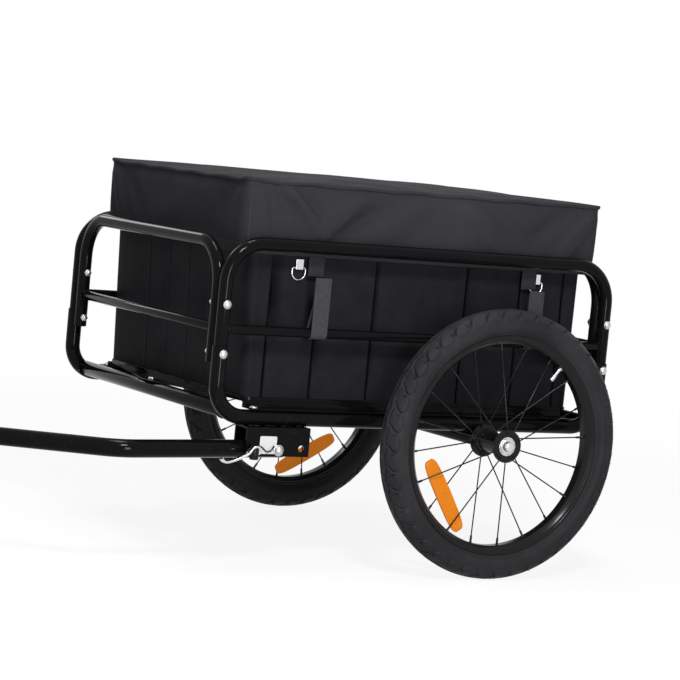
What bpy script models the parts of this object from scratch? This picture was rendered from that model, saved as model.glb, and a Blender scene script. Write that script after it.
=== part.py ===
"""Bicycle cargo trailer: a bolted tube frame on two push-button wheels, a covered crate and a folding drawbar.

Metres, +Z up. +X is the trailer's left and it is towed towards -Y. Every piece is placed from the middle of the
axle, and the empty named trailer lifts all of it to the tyres' radius and centres its length on the origin.
"""

import math

import bmesh
import bpy
from mathutils import Matrix, Vector

# Clearances
GAP = 0.0003
BOLT_SLIP = 0.0003
TRAY_SLIP = 0.0006
SPOKE_SEAT = 0.0005

# Wheels
TYRE_RADIUS = 0.198
TYRE_HEIGHT = 0.037
TYRE_WIDTH = 0.045
TYRE_WALL = 0.0035
RIM_DEPTH = 0.013
RIM_WIDTH = 0.027
RIM_WALL = 0.0018
RIM_SIDE_DEPTH = 0.007
RIM_INNER_WIDTH = 0.014
BEAD_DEPTH = 0.0055
WHEEL_SIDES = 32
HUB_SPACE = 0.006
HUB_OUTER_END = 0.0218
HUB_INNER_END = -0.045
FLANGE_RADIUS = 0.024
FLANGE_WIDTH = 0.0033
INNER_FLANGE_SET = 0.0043
BARREL_RADIUS = 0.015
BEARING_RADIUS = 0.014
BEARING_BORE = 0.006
BEARING_WIDTH = 0.008
BEARING_SEAT_WALL = 0.0032
HUB_SIDES = 16
SPOKES = 20
SPOKE_RADIUS = 0.001
SPOKE_CIRCLE = 0.0205
SPOKE_PHASE = math.radians(5.3)
STUB_RADIUS = 0.0077
STUB_LENGTH = 0.074
STUB_HEAD_RADIUS = 0.0115
STUB_HEAD = 0.0026
BUTTON_RADIUS = 0.004
BUTTON_TRAVEL = 0.003
BUTTON_DOME_RADIUS = 0.007
BUTTON_DOME = 0.0032
BUTTON_LENGTH = 0.019
REFLECTOR_LENGTH = 0.114
REFLECTOR_WIDTH = 0.024
REFLECTOR_THICKNESS = 0.0038
REFLECTOR_INSET = 0.046
REFLECTOR_OUTER_X = 0.0009
LEFT_REFLECTOR_TURN = math.radians(-140.4)
RIGHT_REFLECTOR_TURN = math.radians(-104.2)

# Crate, with heights measured from the axle here and below
CRATE_HALF = 0.2175
CRATE_FRONT_Y = -0.380
CRATE_REAR_Y = 0.179
CRATE_TOP_Z = 0.3455
CRATE_WALL = 0.003
CRATE_CORNER = 0.013
CRATE_FRONT_SPLAY = 0.012
CRATE_REAR_SPLAY = 0.003
CRATE_RIM_HEIGHT = 0.012
GROOVE_WIDTH = 0.0055
GROOVE_DEPTH = 0.0014
SIDE_GROOVES = (0.078, 0.173, 0.250)
END_GROOVES = (0.032, 0.097)

# Cover and its straps
COVER_SIDE_SPACE = 0.004
COVER_FRONT_SPACE = 0.0215
COVER_REAR_SPACE = 0.0185
COVER_CORNER = 0.020
COVER_CORNER_STEPS = 3
COVER_FABRIC = 0.0012
COVER_CROWN = 0.009
COVER_LIP = 0.003
COVER_LIP_HEIGHT = 0.006
COVER_DEPTH = 0.098
SIDE_WAVE = 0.0008
END_WAVE = 0.0018
WAVE_LENGTH = 0.115
STRAP_SETBACKS = (0.096, 0.097)
STRAP_WIDTH = 0.026
STRAP_SHEET = 0.0013
STRAP_STANDOFF = 0.001
STRAP_APEX_RISE = 0.0427
TAB_STANDOFF = 0.002
TAB_STRIP = 0.0014
TAB_DROP = 0.027
TAB_SEAM = 0.018

# Lashing rings
KEEPER_WIDTH = 0.012
KEEPER_HEIGHT = 0.015
KEEPER_DEPTH = 0.0048
KEEPER_LIP = 0.003
RING_DROP = 0.016
RING_WIRE = 0.00125
RING_WIDTH = 0.024
RING_HEIGHT = 0.020
RING_SETBACKS = (0.070, 0.081)

# Side frames
LOWER_OD = 0.0222
LOWER_WALL = 0.0013
LOWER_BEND = 0.050
UPPER_WALL = 0.0015
UPPER_BEND = 0.056
PLUG_DEPTH = 0.040
MID_BAR_OD = 0.014
RAIL_SPACE = 0.0198
FRONT_POST_SPACE = 0.0552
REAR_POST_SPACE = 0.0353
RAIL_Z = 0.0203
LOWER_TOP_Z = 0.1185
MID_BAR_Z = 0.1427
TOP_RAIL_Z = 0.2644
TUBE_SIDES = 12
BEND_STEPS = 5

# Hoops
HOOP_OD = 0.019
HOOP_WALL = 0.0015
HOOP_TOP_Z = 0.261
HOOP_BEND = 0.059
HOOP_TAIL = 0.0141

# Cross tubes, axle tube and floor tray
CROSS_OD = 0.0222
CROSS_WALL = 0.0015
CROSS_RISE = 0.0081
CROSS_INSET = 0.0202
CROSS_END_INSET = 0.006
AXLE_OD = 0.0222
AXLE_OVERHANG = 0.0056
TRAY_SHEET = 0.0015
TRAY_RIM = 0.0066
TAB_WIDTH = 0.022
SIDE_TAB_WIDTH = 0.0155
SIDE_TAB_SETBACK = 0.006
TAB_REACH = 0.0115

# Bolts
BOLT_RADIUS = 0.003
BOLT_HEAD_RADIUS = 0.0055
BOLT_HEAD = 0.0036
NUT_FLAT = 0.005
NUT_HEIGHT = 0.005
NUT_DOME = 0.0025
HIGH_BOLT_RISE = 0.0345
LOW_BOLT_DROP = 0.0104
TRAY_BOLT_LENGTH = 0.0125

# Hitch bracket, drawbar and lock
PLATE_OUT = 0.0181
PLATE = 0.0025
PIVOT_SETBACK = 0.0972
PIVOT_DROP = 0.0436
PLATE_BELOW_PIVOT = 0.0087
PLATE_AHEAD = 0.0525
PLATE_BEHIND = 0.0495
PIVOT_RADIUS = 0.004
PIVOT_HEAD_RADIUS = 0.0065
PIVOT_HEAD = 0.0053
PIVOT_WASHER_RADIUS = 0.008
PIVOT_WASHER = 0.0015
PIVOT_NUT_FLAT = 0.0065
PIVOT_NUT = 0.0065
SPARE_HOLE_RADIUS = 0.005
SPARE_HOLE_BACK = 0.0371
SPARE_HOLE_UP = 0.0028
BAR_OD = 0.0254
BAR_WALL = 0.0015
BAR_SLOPE = math.radians(1.15)
BAR_TAIL = 0.016
BAR_TO_BEND = 0.237
BAR_BEND = math.radians(40.5)
BAR_CROSS_RUN = 0.235
BAR_NOSE_RUN = 0.363
BAR_BEND_RADIUS = 0.070
LOCK_REACH = 0.034
LOCK_RADIUS = 0.003
LOCK_OPENING = math.radians(34)
LOCK_BARREL_RADIUS = 0.0058
LOCK_BARREL = 0.0048
LOCK_NUT_FLAT = 0.005
LOCK_NUT = 0.008
CAM_RADIUS = 0.008
CAM_HEIGHT = 0.018
CAM_FORWARD = 0.008
CAM_DROP = 0.002
LEVER_REACH = 0.054
LEVER_STEP = 0.004
LEVER_HALF_WIDTH = 0.0045
LEVER_HALF_THICKNESS = 0.0017
TETHER_RADIUS = 0.0011
TETHER_STEP = 0.005

# Coupler
HEAD_PLUG = 0.030
HEAD_COLLAR = 0.006
HEAD_HALF_WIDTH = 0.013
HEAD_HALF_HEIGHT = 0.0125
HEAD_SLOT = 0.011
HEAD_SLOT_START = 0.020
HEAD_PIN_REACH = 0.045
PIN_RADIUS = 0.004
PIN_HEAD_RADIUS = 0.009
PIN_HEAD = 0.004
PIN_TAIL = 0.006

# Sizes and places that follow from those above
RIM_RADIUS = TYRE_RADIUS - TYRE_HEIGHT
RIM_BASE = RIM_RADIUS - BEAD_DEPTH
RIM_INNER = RIM_RADIUS - RIM_DEPTH
REFLECTOR_RADIUS = RIM_RADIUS - REFLECTOR_INSET
COVER_HALF = CRATE_HALF + COVER_SIDE_SPACE
COVER_FRONT_Y = CRATE_FRONT_Y - COVER_FRONT_SPACE
COVER_REAR_Y = CRATE_REAR_Y + COVER_REAR_SPACE
COVER_EDGE_Z = CRATE_TOP_Z + GAP + COVER_FABRIC
COVER_HEM_Z = COVER_EDGE_Z - COVER_DEPTH
STRAP_YS = (CRATE_FRONT_Y + STRAP_SETBACKS[0], CRATE_REAR_Y - STRAP_SETBACKS[1])
TAB_FOOT_Z = COVER_HEM_Z - TAB_DROP
TAB_OUTER_X = COVER_HALF + TAB_STANDOFF + TAB_STRIP
STRAP_X = TAB_OUTER_X + STRAP_STANDOFF + STRAP_SHEET
STRAP_APEX_Z = MID_BAR_Z + STRAP_APEX_RISE
RING_YS = (CRATE_FRONT_Y + RING_SETBACKS[0], CRATE_REAR_Y - RING_SETBACKS[1])
RING_X = CRATE_HALF + GAP + KEEPER_DEPTH / 2
RING_Z = COVER_HEM_Z - RING_DROP
RAIL_X = COVER_HALF + RAIL_SPACE
FRONT_Y = CRATE_FRONT_Y - FRONT_POST_SPACE
REAR_Y = CRATE_REAR_Y + REAR_POST_SPACE
LOWER_BORE = LOWER_OD - 2 * LOWER_WALL
UPPER_OD = LOWER_BORE - 2 * GAP
UPPER_FOOT_Z = LOWER_TOP_Z - PLUG_DEPTH
HIGH_BOLT_Z = MID_BAR_Z + HIGH_BOLT_RISE
LOW_BOLT_Z = LOWER_TOP_Z - LOW_BOLT_DROP
HOOP_X = RAIL_X - LOWER_OD / 2 - HOOP_OD / 2 - GAP
HOOP_FOOT_Z = LOW_BOLT_Z - HOOP_TAIL
CROSS_Z = RAIL_Z + CROSS_RISE
CROSS_FRONT_Y = FRONT_Y + CROSS_INSET
CROSS_REAR_Y = REAR_Y - CROSS_INSET
AXLE_HALF = RAIL_X + LOWER_OD / 2 + AXLE_OVERHANG
AXLE_BORE_RADIUS = STUB_RADIUS + GAP
WHEEL_X = AXLE_HALF + HUB_SPACE - HUB_INNER_END
TRAY_Z = CROSS_Z + CROSS_OD / 2 + GAP
SIDE_TAB_Y = CRATE_FRONT_Y + SIDE_TAB_SETBACK
CRATE_Z = TRAY_Z + TRAY_SHEET + GAP
PIVOT_Y = FRONT_Y + PIVOT_SETBACK
PIVOT_Z = RAIL_Z - PIVOT_DROP
BAR_FORWARD = Vector((0, -math.cos(BAR_SLOPE), -math.sin(BAR_SLOPE)))
LOCK_SPOT = BAR_FORWARD * LOCK_REACH
CAM_X = PLATE_OUT + GAP + LOCK_BARREL + GAP + CAM_RADIUS
CAM_SPOT = LOCK_SPOT + Vector((CAM_X, -CAM_FORWARD, -CAM_DROP))

X_AXIS = Vector((1, 0, 0))
Y_AXIS = Vector((0, 1, 0))
Z_AXIS = Vector((0, 0, 1))
HALF_TURN = math.pi


def clear_scene():
    """Removes the objects that the file opened with."""
    for old in list(bpy.data.objects):
        bpy.data.objects.remove(old, do_unlink=True)


def principled(name, colour, roughness, metallic=0.0):
    """A plain material of one colour."""
    material = bpy.data.materials.new(name)
    material.use_nodes = True
    shader = material.node_tree.nodes["Principled BSDF"]
    shader.inputs["Base Color"].default_value = (*colour, 1.0)
    shader.inputs["Roughness"].default_value = roughness
    shader.inputs["Metallic"].default_value = metallic
    material.diffuse_color = (*colour, 1.0)
    return material


def mesh_from(vertices, faces):
    """A closed mesh with its faces turned outwards."""
    mesh = bpy.data.meshes.new("shape")
    mesh.from_pydata([tuple(v) for v in vertices], [], faces)
    work = bmesh.new()
    work.from_mesh(mesh)
    bmesh.ops.recalc_face_normals(work, faces=work.faces)
    work.to_mesh(mesh)
    work.free()
    return mesh


def moved(mesh, matrix):
    """A copy of the mesh, carried by the matrix."""
    copy = mesh.copy()
    copy.transform(matrix)
    return copy


def joined(meshes):
    """One mesh that holds all the given ones, still as separate bodies."""
    work = bmesh.new()
    for mesh in meshes:
        work.from_mesh(mesh)
    result = bpy.data.meshes.new("shape")
    work.to_mesh(result)
    work.free()
    return result


def machined(mesh, *steps):
    """The mesh after each (operation, tool mesh) Boolean in turn."""
    scene = bpy.context.scene.collection
    helpers = [bpy.data.objects.new("workpiece", mesh)]
    scene.objects.link(helpers[0])
    for operation, tool_mesh in steps:
        tool = bpy.data.objects.new("tool", tool_mesh)
        scene.objects.link(tool)
        helpers.append(tool)
        boolean = helpers[0].modifiers.new(operation.lower(), "BOOLEAN")
        boolean.operation = operation
        boolean.solver = "EXACT"
        boolean.object = tool
    graph = bpy.context.evaluated_depsgraph_get()
    result = bpy.data.meshes.new_from_object(helpers[0].evaluated_get(graph))
    for helper in helpers:
        bpy.data.objects.remove(helper, do_unlink=True)
    return result


def placed(name, mesh, material, parent, location=(0, 0, 0), rotation=(0, 0, 0)):
    """The named object of a sub-part, with its material, shaded smooth where it is round."""
    mesh.materials.clear()
    mesh.materials.append(material)
    mesh.shade_smooth()
    mesh.set_sharp_from_angle(angle=math.radians(40))
    part = bpy.data.objects.new(name, mesh)
    bpy.context.scene.collection.objects.link(part)
    part.parent = parent
    part.location = location
    part.rotation_euler = rotation
    return part


def empty(name, parent=None, location=(0, 0, 0), rotation=(0, 0, 0)):
    """A point that carries other objects."""
    point = bpy.data.objects.new(name, None)
    bpy.context.scene.collection.objects.link(point)
    point.parent = parent
    point.location = location
    point.rotation_euler = rotation
    return point


def circle(radius, sides):
    """The section of a round tube, as pairs across and beside its path."""
    turns = (2 * math.pi * i / sides for i in range(sides))
    return [(radius * math.cos(a), radius * math.sin(a)) for a in turns]


def rounded_path(corners, radius, steps=BEND_STEPS):
    """The points along straight runs between the corners, each inner corner bent to the radius."""
    path = [Vector(corners[0])]
    for before, corner, after in zip(corners, corners[1:], corners[2:]):
        corner = Vector(corner)
        into = (corner - Vector(before)).normalized()
        out = (Vector(after) - corner).normalized()
        turn = into.angle(out)
        start = corner - into * radius * math.tan(turn / 2)
        side = (out - into * out.dot(into)).normalized()
        centre = start + side * radius
        for k in range(steps + 1):
            angle = turn * k / steps
            path.append(centre + radius * (into * math.sin(angle) - side * math.cos(angle)))
    path.append(Vector(corners[-1]))
    return path


def swept(path, across, section, bore=None, closed=False):
    """The section carried along the path. across is the direction that all of the path is square to."""
    path = [Vector(p) for p in path]
    count = len(path)
    across = Vector(across).normalized()
    sections = [section] if bore is None else [section, bore]
    sides = len(section)
    vertices = []
    for shape in sections:
        for i, point in enumerate(path):
            before = path[i - 1] if closed or i > 0 else point
            after = path[(i + 1) % count] if closed or i < count - 1 else point
            beside = (after - before).normalized().cross(across)
            vertices += [point + across * a + beside * b for a, b in shape]
    faces = []
    spans = count if closed else count - 1
    for layer in range(len(sections)):
        first = layer * count * sides
        for i in range(spans):
            here = first + i * sides
            there = first + (i + 1) % count * sides
            for j in range(sides):
                k = (j + 1) % sides
                faces.append((here + j, here + k, there + k, there + j))
    if not closed:
        for ring in (0, (count - 1) * sides):
            if bore is None:
                faces.append(tuple(range(ring, ring + sides)))
                continue
            inner = ring + count * sides
            for j in range(sides):
                k = (j + 1) % sides
                faces.append((ring + j, ring + k, inner + k, inner + j))
    return mesh_from(vertices, faces)


def rod(start, end, radius, sides=TUBE_SIDES):
    """A straight round bar between two points."""
    start = Vector(start)
    end = Vector(end)
    return swept([start, end], (end - start).orthogonal(), circle(radius, sides))


def turned(profile, sides, ring=False):
    """The profile of (x, radius) turned round the X axis. It starts and ends on the axis, or is a closed ring.

    A third value of True makes that radius the flat of a hexagon, which needs sides to be 12.
    """
    vertices = []
    rings = []
    for x, radius, *hexagon in profile:
        if radius == 0:
            rings.append([len(vertices)])
            vertices.append((x, 0, 0))
            continue
        rings.append(list(range(len(vertices), len(vertices) + sides)))
        for j in range(sides):
            angle = 2 * math.pi * j / sides
            reach = radius / math.cos(math.pi / 6) if hexagon and j % 2 == 0 else radius
            vertices.append((x, reach * math.cos(angle), reach * math.sin(angle)))
    faces = []
    pairs = list(zip(rings, rings[1:])) + ([(rings[-1], rings[0])] if ring else [])
    for a, b in pairs:
        for j in range(sides):
            k = (j + 1) % sides
            if len(a) == 1:
                faces.append((a[0], b[j], b[k]))
            elif len(b) == 1:
                faces.append((a[j], a[k], b[0]))
            else:
                faces.append((a[j], a[k], b[k], b[j]))
    return mesh_from(vertices, faces)


def prism(outline, low, high, axis, hole=None):
    """The outline of pairs in the other two axes, run from low to high along the axis, round a hole if given."""
    loops = [outline] if hole is None else [outline, hole]
    count = len(outline)
    vertices = []
    for loop in loops:
        for level in (low, high):
            for a, b in loop:
                point = [a, b]
                point.insert(axis, level)
                vertices.append(point)
    faces = []
    for layer in range(len(loops)):
        first = 2 * count * layer
        for i in range(count):
            k = (i + 1) % count
            faces.append((first + i, first + k, first + count + k, first + count + i))
    for level in (0, count):
        if hole is None:
            faces.append(tuple(range(level, level + count)))
            continue
        for i in range(count):
            k = (i + 1) % count
            faces.append((level + i, level + k, level + 2 * count + k, level + 2 * count + i))
    return mesh_from(vertices, faces)


def box(x0, x1, y0, y1, z0, z1):
    """A plain block between the given planes."""
    return prism([(x0, y0), (x1, y0), (x1, y1), (x0, y1)], z0, z1, 2)


def rounded_rectangle(half_x, y0, y1, radius, steps=4):
    """The outline of a rectangle with round corners, counter-clockwise from its front right corner."""
    outline = []
    corners = ((half_x, y0, -90), (half_x, y1, 0), (-half_x, y1, 90), (-half_x, y0, 180))
    for x, y, start in corners:
        centre_x = x - math.copysign(radius, x)
        centre_y = y + radius if y == y0 else y - radius
        for k in range(steps + 1):
            angle = math.radians(start + 90 * k / steps)
            outline.append((centre_x + radius * math.cos(angle), centre_y + radius * math.sin(angle)))
    return outline


# Frame

def lower_rail_path():
    """The centre line of a lower side tube, in the plane of the side frame."""
    corners = ((0, FRONT_Y, LOWER_TOP_Z), (0, FRONT_Y, RAIL_Z), (0, REAR_Y, RAIL_Z), (0, REAR_Y, LOWER_TOP_Z))
    return rounded_path(corners, LOWER_BEND)


def cross_bolt_holes(levels, reach):
    """Tools for the holes that the corner bolts take, at both posts."""
    radius = BOLT_RADIUS + BOLT_SLIP
    spots = [(y, z) for y in (FRONT_Y, REAR_Y) for z in levels]
    return joined([rod((-reach, y, z), (reach, y, z), radius, 8) for y, z in spots])


def lower_rail_mesh():
    tube = swept(
        lower_rail_path(),
        X_AXIS,
        circle(LOWER_OD / 2, TUBE_SIDES),
        circle(LOWER_BORE / 2, TUBE_SIDES),
    )
    tray_hole = rod(
        (0, SIDE_TAB_Y, RAIL_Z), (0, SIDE_TAB_Y, RAIL_Z + LOWER_OD), BOLT_RADIUS + BOLT_SLIP, 8
    )
    return machined(
        tube,
        ("DIFFERENCE", cross_bolt_holes((LOW_BOLT_Z,), LOWER_OD)),
        ("DIFFERENCE", tray_hole),
    )


def post_frame_mesh(corners, bend, across, outer, wall, bar_ends, holes):
    """A bent tube with a bar welded between its legs, bored from end to end and drilled."""
    path = rounded_path(corners, bend)
    inside = list(path)
    inside[0] = path[0] - (path[1] - path[0]).normalized() * outer
    inside[-1] = path[-1] + (path[-1] - path[-2]).normalized() * outer
    return machined(
        swept(path, across, circle(outer / 2, TUBE_SIDES)),
        ("UNION", rod(*bar_ends, MID_BAR_OD / 2)),
        ("DIFFERENCE", swept(inside, across, circle(outer / 2 - wall, TUBE_SIDES))),
        ("DIFFERENCE", holes),
    )


def upper_rail_mesh():
    corners = (
        (0, FRONT_Y, UPPER_FOOT_Z),
        (0, FRONT_Y, TOP_RAIL_Z),
        (0, REAR_Y, TOP_RAIL_Z),
        (0, REAR_Y, UPPER_FOOT_Z),
    )
    bar_ends = ((0, FRONT_Y, MID_BAR_Z), (0, REAR_Y, MID_BAR_Z))
    holes = cross_bolt_holes((HIGH_BOLT_Z, LOW_BOLT_Z), UPPER_OD)
    return post_frame_mesh(corners, UPPER_BEND, X_AXIS, UPPER_OD, UPPER_WALL, bar_ends, holes)


def hoop_mesh():
    corners = (
        (-HOOP_X, 0, HOOP_FOOT_Z),
        (-HOOP_X, 0, HOOP_TOP_Z),
        (HOOP_X, 0, HOOP_TOP_Z),
        (HOOP_X, 0, HOOP_FOOT_Z),
    )
    bar_ends = ((-HOOP_X, 0, MID_BAR_Z), (HOOP_X, 0, MID_BAR_Z))
    radius = BOLT_RADIUS + BOLT_SLIP
    spots = [(side * HOOP_X, z) for side in (-1, 1) for z in (HIGH_BOLT_Z, LOW_BOLT_Z)]
    holes = joined([rod((x - HOOP_OD, 0, z), (x + HOOP_OD, 0, z), radius, 8) for x, z in spots])
    return post_frame_mesh(corners, HOOP_BEND, Y_AXIS, HOOP_OD, HOOP_WALL, bar_ends, holes)


def rail_saddles(path):
    """Solid copies of both lower rails, fatter by the gap, to saddle a tube against them."""
    rail = swept(path, X_AXIS, circle(LOWER_OD / 2 + GAP, TUBE_SIDES))
    return joined([moved(rail, Matrix.Translation(X_AXIS * side * RAIL_X)) for side in (-1, 1)])


def cross_tube_mesh():
    """The front cross tube. The rear one is the same piece turned round."""
    half = RAIL_X - CROSS_END_INSET
    ends = ((-half, CROSS_FRONT_Y, CROSS_Z), (half, CROSS_FRONT_Y, CROSS_Z))
    far_ends = ((-RAIL_X, CROSS_FRONT_Y, CROSS_Z), (RAIL_X, CROSS_FRONT_Y, CROSS_Z))
    top = (0, CROSS_FRONT_Y, CROSS_Z + CROSS_OD)
    return machined(
        rod(*ends, CROSS_OD / 2),
        ("DIFFERENCE", rail_saddles(lower_rail_path())),
        ("DIFFERENCE", rod(*far_ends, CROSS_OD / 2 - CROSS_WALL)),
        ("DIFFERENCE", rod((0, CROSS_FRONT_Y, CROSS_Z), top, BOLT_RADIUS + BOLT_SLIP, 8)),
    )


def axle_tube_mesh():
    span = ((-AXLE_HALF, 0, 0), (AXLE_HALF, 0, 0))
    bore = ((-AXLE_HALF - GAP, 0, 0), (AXLE_HALF + GAP, 0, 0))
    straight_rail = [(0, -LOWER_OD, RAIL_Z), (0, LOWER_OD, RAIL_Z)]
    return machined(
        rod(*span, AXLE_OD / 2),
        ("DIFFERENCE", rail_saddles(straight_rail)),
        ("DIFFERENCE", rod(*bore, AXLE_BORE_RADIUS)),
    )


def frame_bolt_mesh(post_radius):
    """A domed bolt through post and hoop leg, with its cap nut, along X from the post's centre line."""
    head = post_radius + GAP
    nut = HOOP_X - RAIL_X - HOOP_OD / 2 - GAP
    profile = (
        (nut - NUT_HEIGHT - NUT_DOME, 0),
        (nut - NUT_HEIGHT, NUT_FLAT * 0.8),
        (nut - NUT_HEIGHT, NUT_FLAT, True),
        (nut, NUT_FLAT, True),
        (nut, BOLT_RADIUS),
        (head, BOLT_RADIUS),
        (head, BOLT_HEAD_RADIUS),
        (head + BOLT_HEAD * 0.6, BOLT_HEAD_RADIUS * 0.8),
        (head + BOLT_HEAD, 0),
    )
    return turned(profile, 12)


def tray_bolt_mesh():
    """A domed bolt standing on the top face of a tab, along Z."""
    profile = (
        (-TRAY_BOLT_LENGTH, 0),
        (-TRAY_BOLT_LENGTH, BOLT_RADIUS),
        (GAP, BOLT_RADIUS),
        (GAP, BOLT_HEAD_RADIUS),
        (GAP + BOLT_HEAD * 0.6, BOLT_HEAD_RADIUS * 0.8),
        (GAP + BOLT_HEAD, 0),
    )
    return moved(turned(profile, 12), Matrix.Rotation(-math.pi / 2, 4, "Y"))


def tray_mesh():
    """The pressed floor: a shallow pan whose flanges narrow to each cross tube and step down onto each rail."""
    wall = TRAY_SLIP + TRAY_SHEET
    front = CRATE_FRONT_Y - wall
    rear = CRATE_REAR_Y + wall
    half = CRATE_HALF + wall
    pan = prism(rounded_rectangle(half, front, rear, CRATE_CORNER + wall), TRAY_Z, TRAY_Z + TRAY_RIM, 2)
    inner = rounded_rectangle(
        half - TRAY_SHEET, front + TRAY_SHEET, rear - TRAY_SHEET, CRATE_CORNER + TRAY_SLIP
    )
    pocket = prism(inner, TRAY_Z + TRAY_SHEET, TRAY_Z + 2 * TRAY_RIM, 2)
    lap = 2 * TRAY_SHEET
    floor_top = TRAY_Z + TRAY_SHEET
    end_half = TAB_WIDTH / 2
    base_half = half - wall - CRATE_CORNER
    front_end = CROSS_FRONT_Y - TAB_REACH
    rear_end = CROSS_REAR_Y + TAB_REACH
    front_flange = [(-base_half, front + lap), (-end_half, front_end), (end_half, front_end), (base_half, front + lap)]
    rear_flange = [(base_half, rear - lap), (end_half, rear_end), (-end_half, rear_end), (-base_half, rear - lap)]
    low = RAIL_Z + LOWER_OD / 2 + GAP
    step_x = half + TRAY_SHEET
    stepped = [
        (half - lap, TRAY_Z),
        (step_x, TRAY_Z),
        (step_x, low),
        (RAIL_X + TAB_REACH - TRAY_SHEET, low),
        (RAIL_X + TAB_REACH - TRAY_SHEET, low + TRAY_SHEET),
        (step_x + TRAY_SHEET, low + TRAY_SHEET),
        (step_x + TRAY_SHEET, floor_top),
        (half - lap, floor_top),
    ]
    side_low = SIDE_TAB_Y - SIDE_TAB_WIDTH / 2
    side_high = REAR_Y - LOWER_BEND
    left_flange = prism(stepped, side_low, side_high, 1)
    right_flange = prism([(-x, z) for x, z in stepped], side_low, side_high, 1)
    spots = ((0, CROSS_FRONT_Y), (0, CROSS_REAR_Y), (RAIL_X, SIDE_TAB_Y), (-RAIL_X, SIDE_TAB_Y))
    radius = BOLT_RADIUS + BOLT_SLIP
    holes = joined([rod((x, y, low - lap), (x, y, floor_top + lap), radius, 8) for x, y in spots])
    return machined(
        pan,
        ("DIFFERENCE", pocket),
        ("UNION", prism(front_flange, TRAY_Z, floor_top, 2)),
        ("UNION", prism(rear_flange, TRAY_Z, floor_top, 2)),
        ("UNION", left_flange),
        ("UNION", right_flange),
        ("DIFFERENCE", holes),
    )


def build_frame(trailer, paint, zinc):
    """Side frames, hoops, cross tubes, axle tube, tray and their bolts."""
    lower_rail = lower_rail_mesh()
    upper_rail = upper_rail_mesh()
    for side, word in ((1, "left"), (-1, "right")):
        placed(f"{word}_lower_rail", lower_rail, paint, trailer, (side * RAIL_X, 0, 0))
        placed(f"{word}_upper_rail", upper_rail, paint, trailer, (side * RAIL_X, 0, 0))
    hoop = hoop_mesh()
    placed("front_hoop", hoop, paint, trailer, (0, FRONT_Y, 0))
    placed("rear_hoop", hoop, paint, trailer, (0, REAR_Y, 0))
    cross_tube = cross_tube_mesh()
    turn_about = CROSS_FRONT_Y + CROSS_REAR_Y
    placed("front_cross_tube", cross_tube, paint, trailer)
    placed("rear_cross_tube", cross_tube, paint, trailer, (0, turn_about, 0), (0, 0, HALF_TURN))
    placed("axle_tube", axle_tube_mesh(), paint, trailer)
    placed("floor_tray", tray_mesh(), paint, trailer)
    bolts = (("upper", HIGH_BOLT_Z, UPPER_OD / 2), ("lower", LOW_BOLT_Z, LOWER_OD / 2))
    for level, z, radius in bolts:
        mesh = frame_bolt_mesh(radius)
        for side, turn, word in ((1, 0, "left"), (-1, HALF_TURN, "right")):
            for end, y in (("front", FRONT_Y), ("rear", REAR_Y)):
                name = f"{word}_{end}_{level}_bolt"
                placed(name, mesh, zinc, trailer, (side * RAIL_X, y, z), (0, 0, turn))
    tray_bolt = tray_bolt_mesh()
    end_top = TRAY_Z + TRAY_SHEET
    side_top = RAIL_Z + LOWER_OD / 2 + GAP + TRAY_SHEET
    placed("front_tray_bolt", tray_bolt, zinc, trailer, (0, CROSS_FRONT_Y, end_top))
    placed("rear_tray_bolt", tray_bolt, zinc, trailer, (0, CROSS_REAR_Y, end_top))
    placed("left_tray_bolt", tray_bolt, zinc, trailer, (RAIL_X, SIDE_TAB_Y, side_top))
    placed("right_tray_bolt", tray_bolt, zinc, trailer, (-RAIL_X, SIDE_TAB_Y, side_top))


# Crate and lashing rings

def grooved_run(start, end, grooves):
    """The points of a straight wall from start to end, notched inwards (to its left) at each groove's distance."""
    start = Vector(start)
    along = Vector(end) - start
    direction = along.normalized()
    inwards = Vector((-direction.y, direction.x))
    points = []
    for distance in grooves:
        middle = start + direction * distance
        for reach, depth in ((-0.5, 0), (-0.25, GROOVE_DEPTH), (0.25, GROOVE_DEPTH), (0.5, 0)):
            points.append(middle + direction * reach * GROOVE_WIDTH + inwards * depth)
    return [tuple(p) for p in points]


def crate_outline(front, rear):
    """The crate's outer outline at one height, counter-clockwise, with the grooves of its four walls."""
    corners = rounded_rectangle(CRATE_HALF, front, rear, CRATE_CORNER)
    count = len(corners) // 4
    middle = (CRATE_FRONT_Y + CRATE_REAR_Y) / 2
    side = [s * g for s, g in [(-1, g) for g in reversed(SIDE_GROOVES)] + [(1, g) for g in SIDE_GROOVES]]
    end = [s * g for s, g in [(-1, g) for g in reversed(END_GROOVES)] + [(1, g) for g in END_GROOVES]]
    outline = []
    for i in range(4):
        outline += corners[i * count : (i + 1) * count]
        start = Vector(outline[-1])
        stop = Vector(corners[(i + 1) * count % len(corners)])
        if i == 0:
            distances = [middle + g - start.y for g in side]
        elif i == 2:
            distances = [start.y - middle + g for g in side]
        else:
            distances = [(stop - start).length / 2 + g for g in end]
        outline += grooved_run(start, stop, distances)
    return outline


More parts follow.
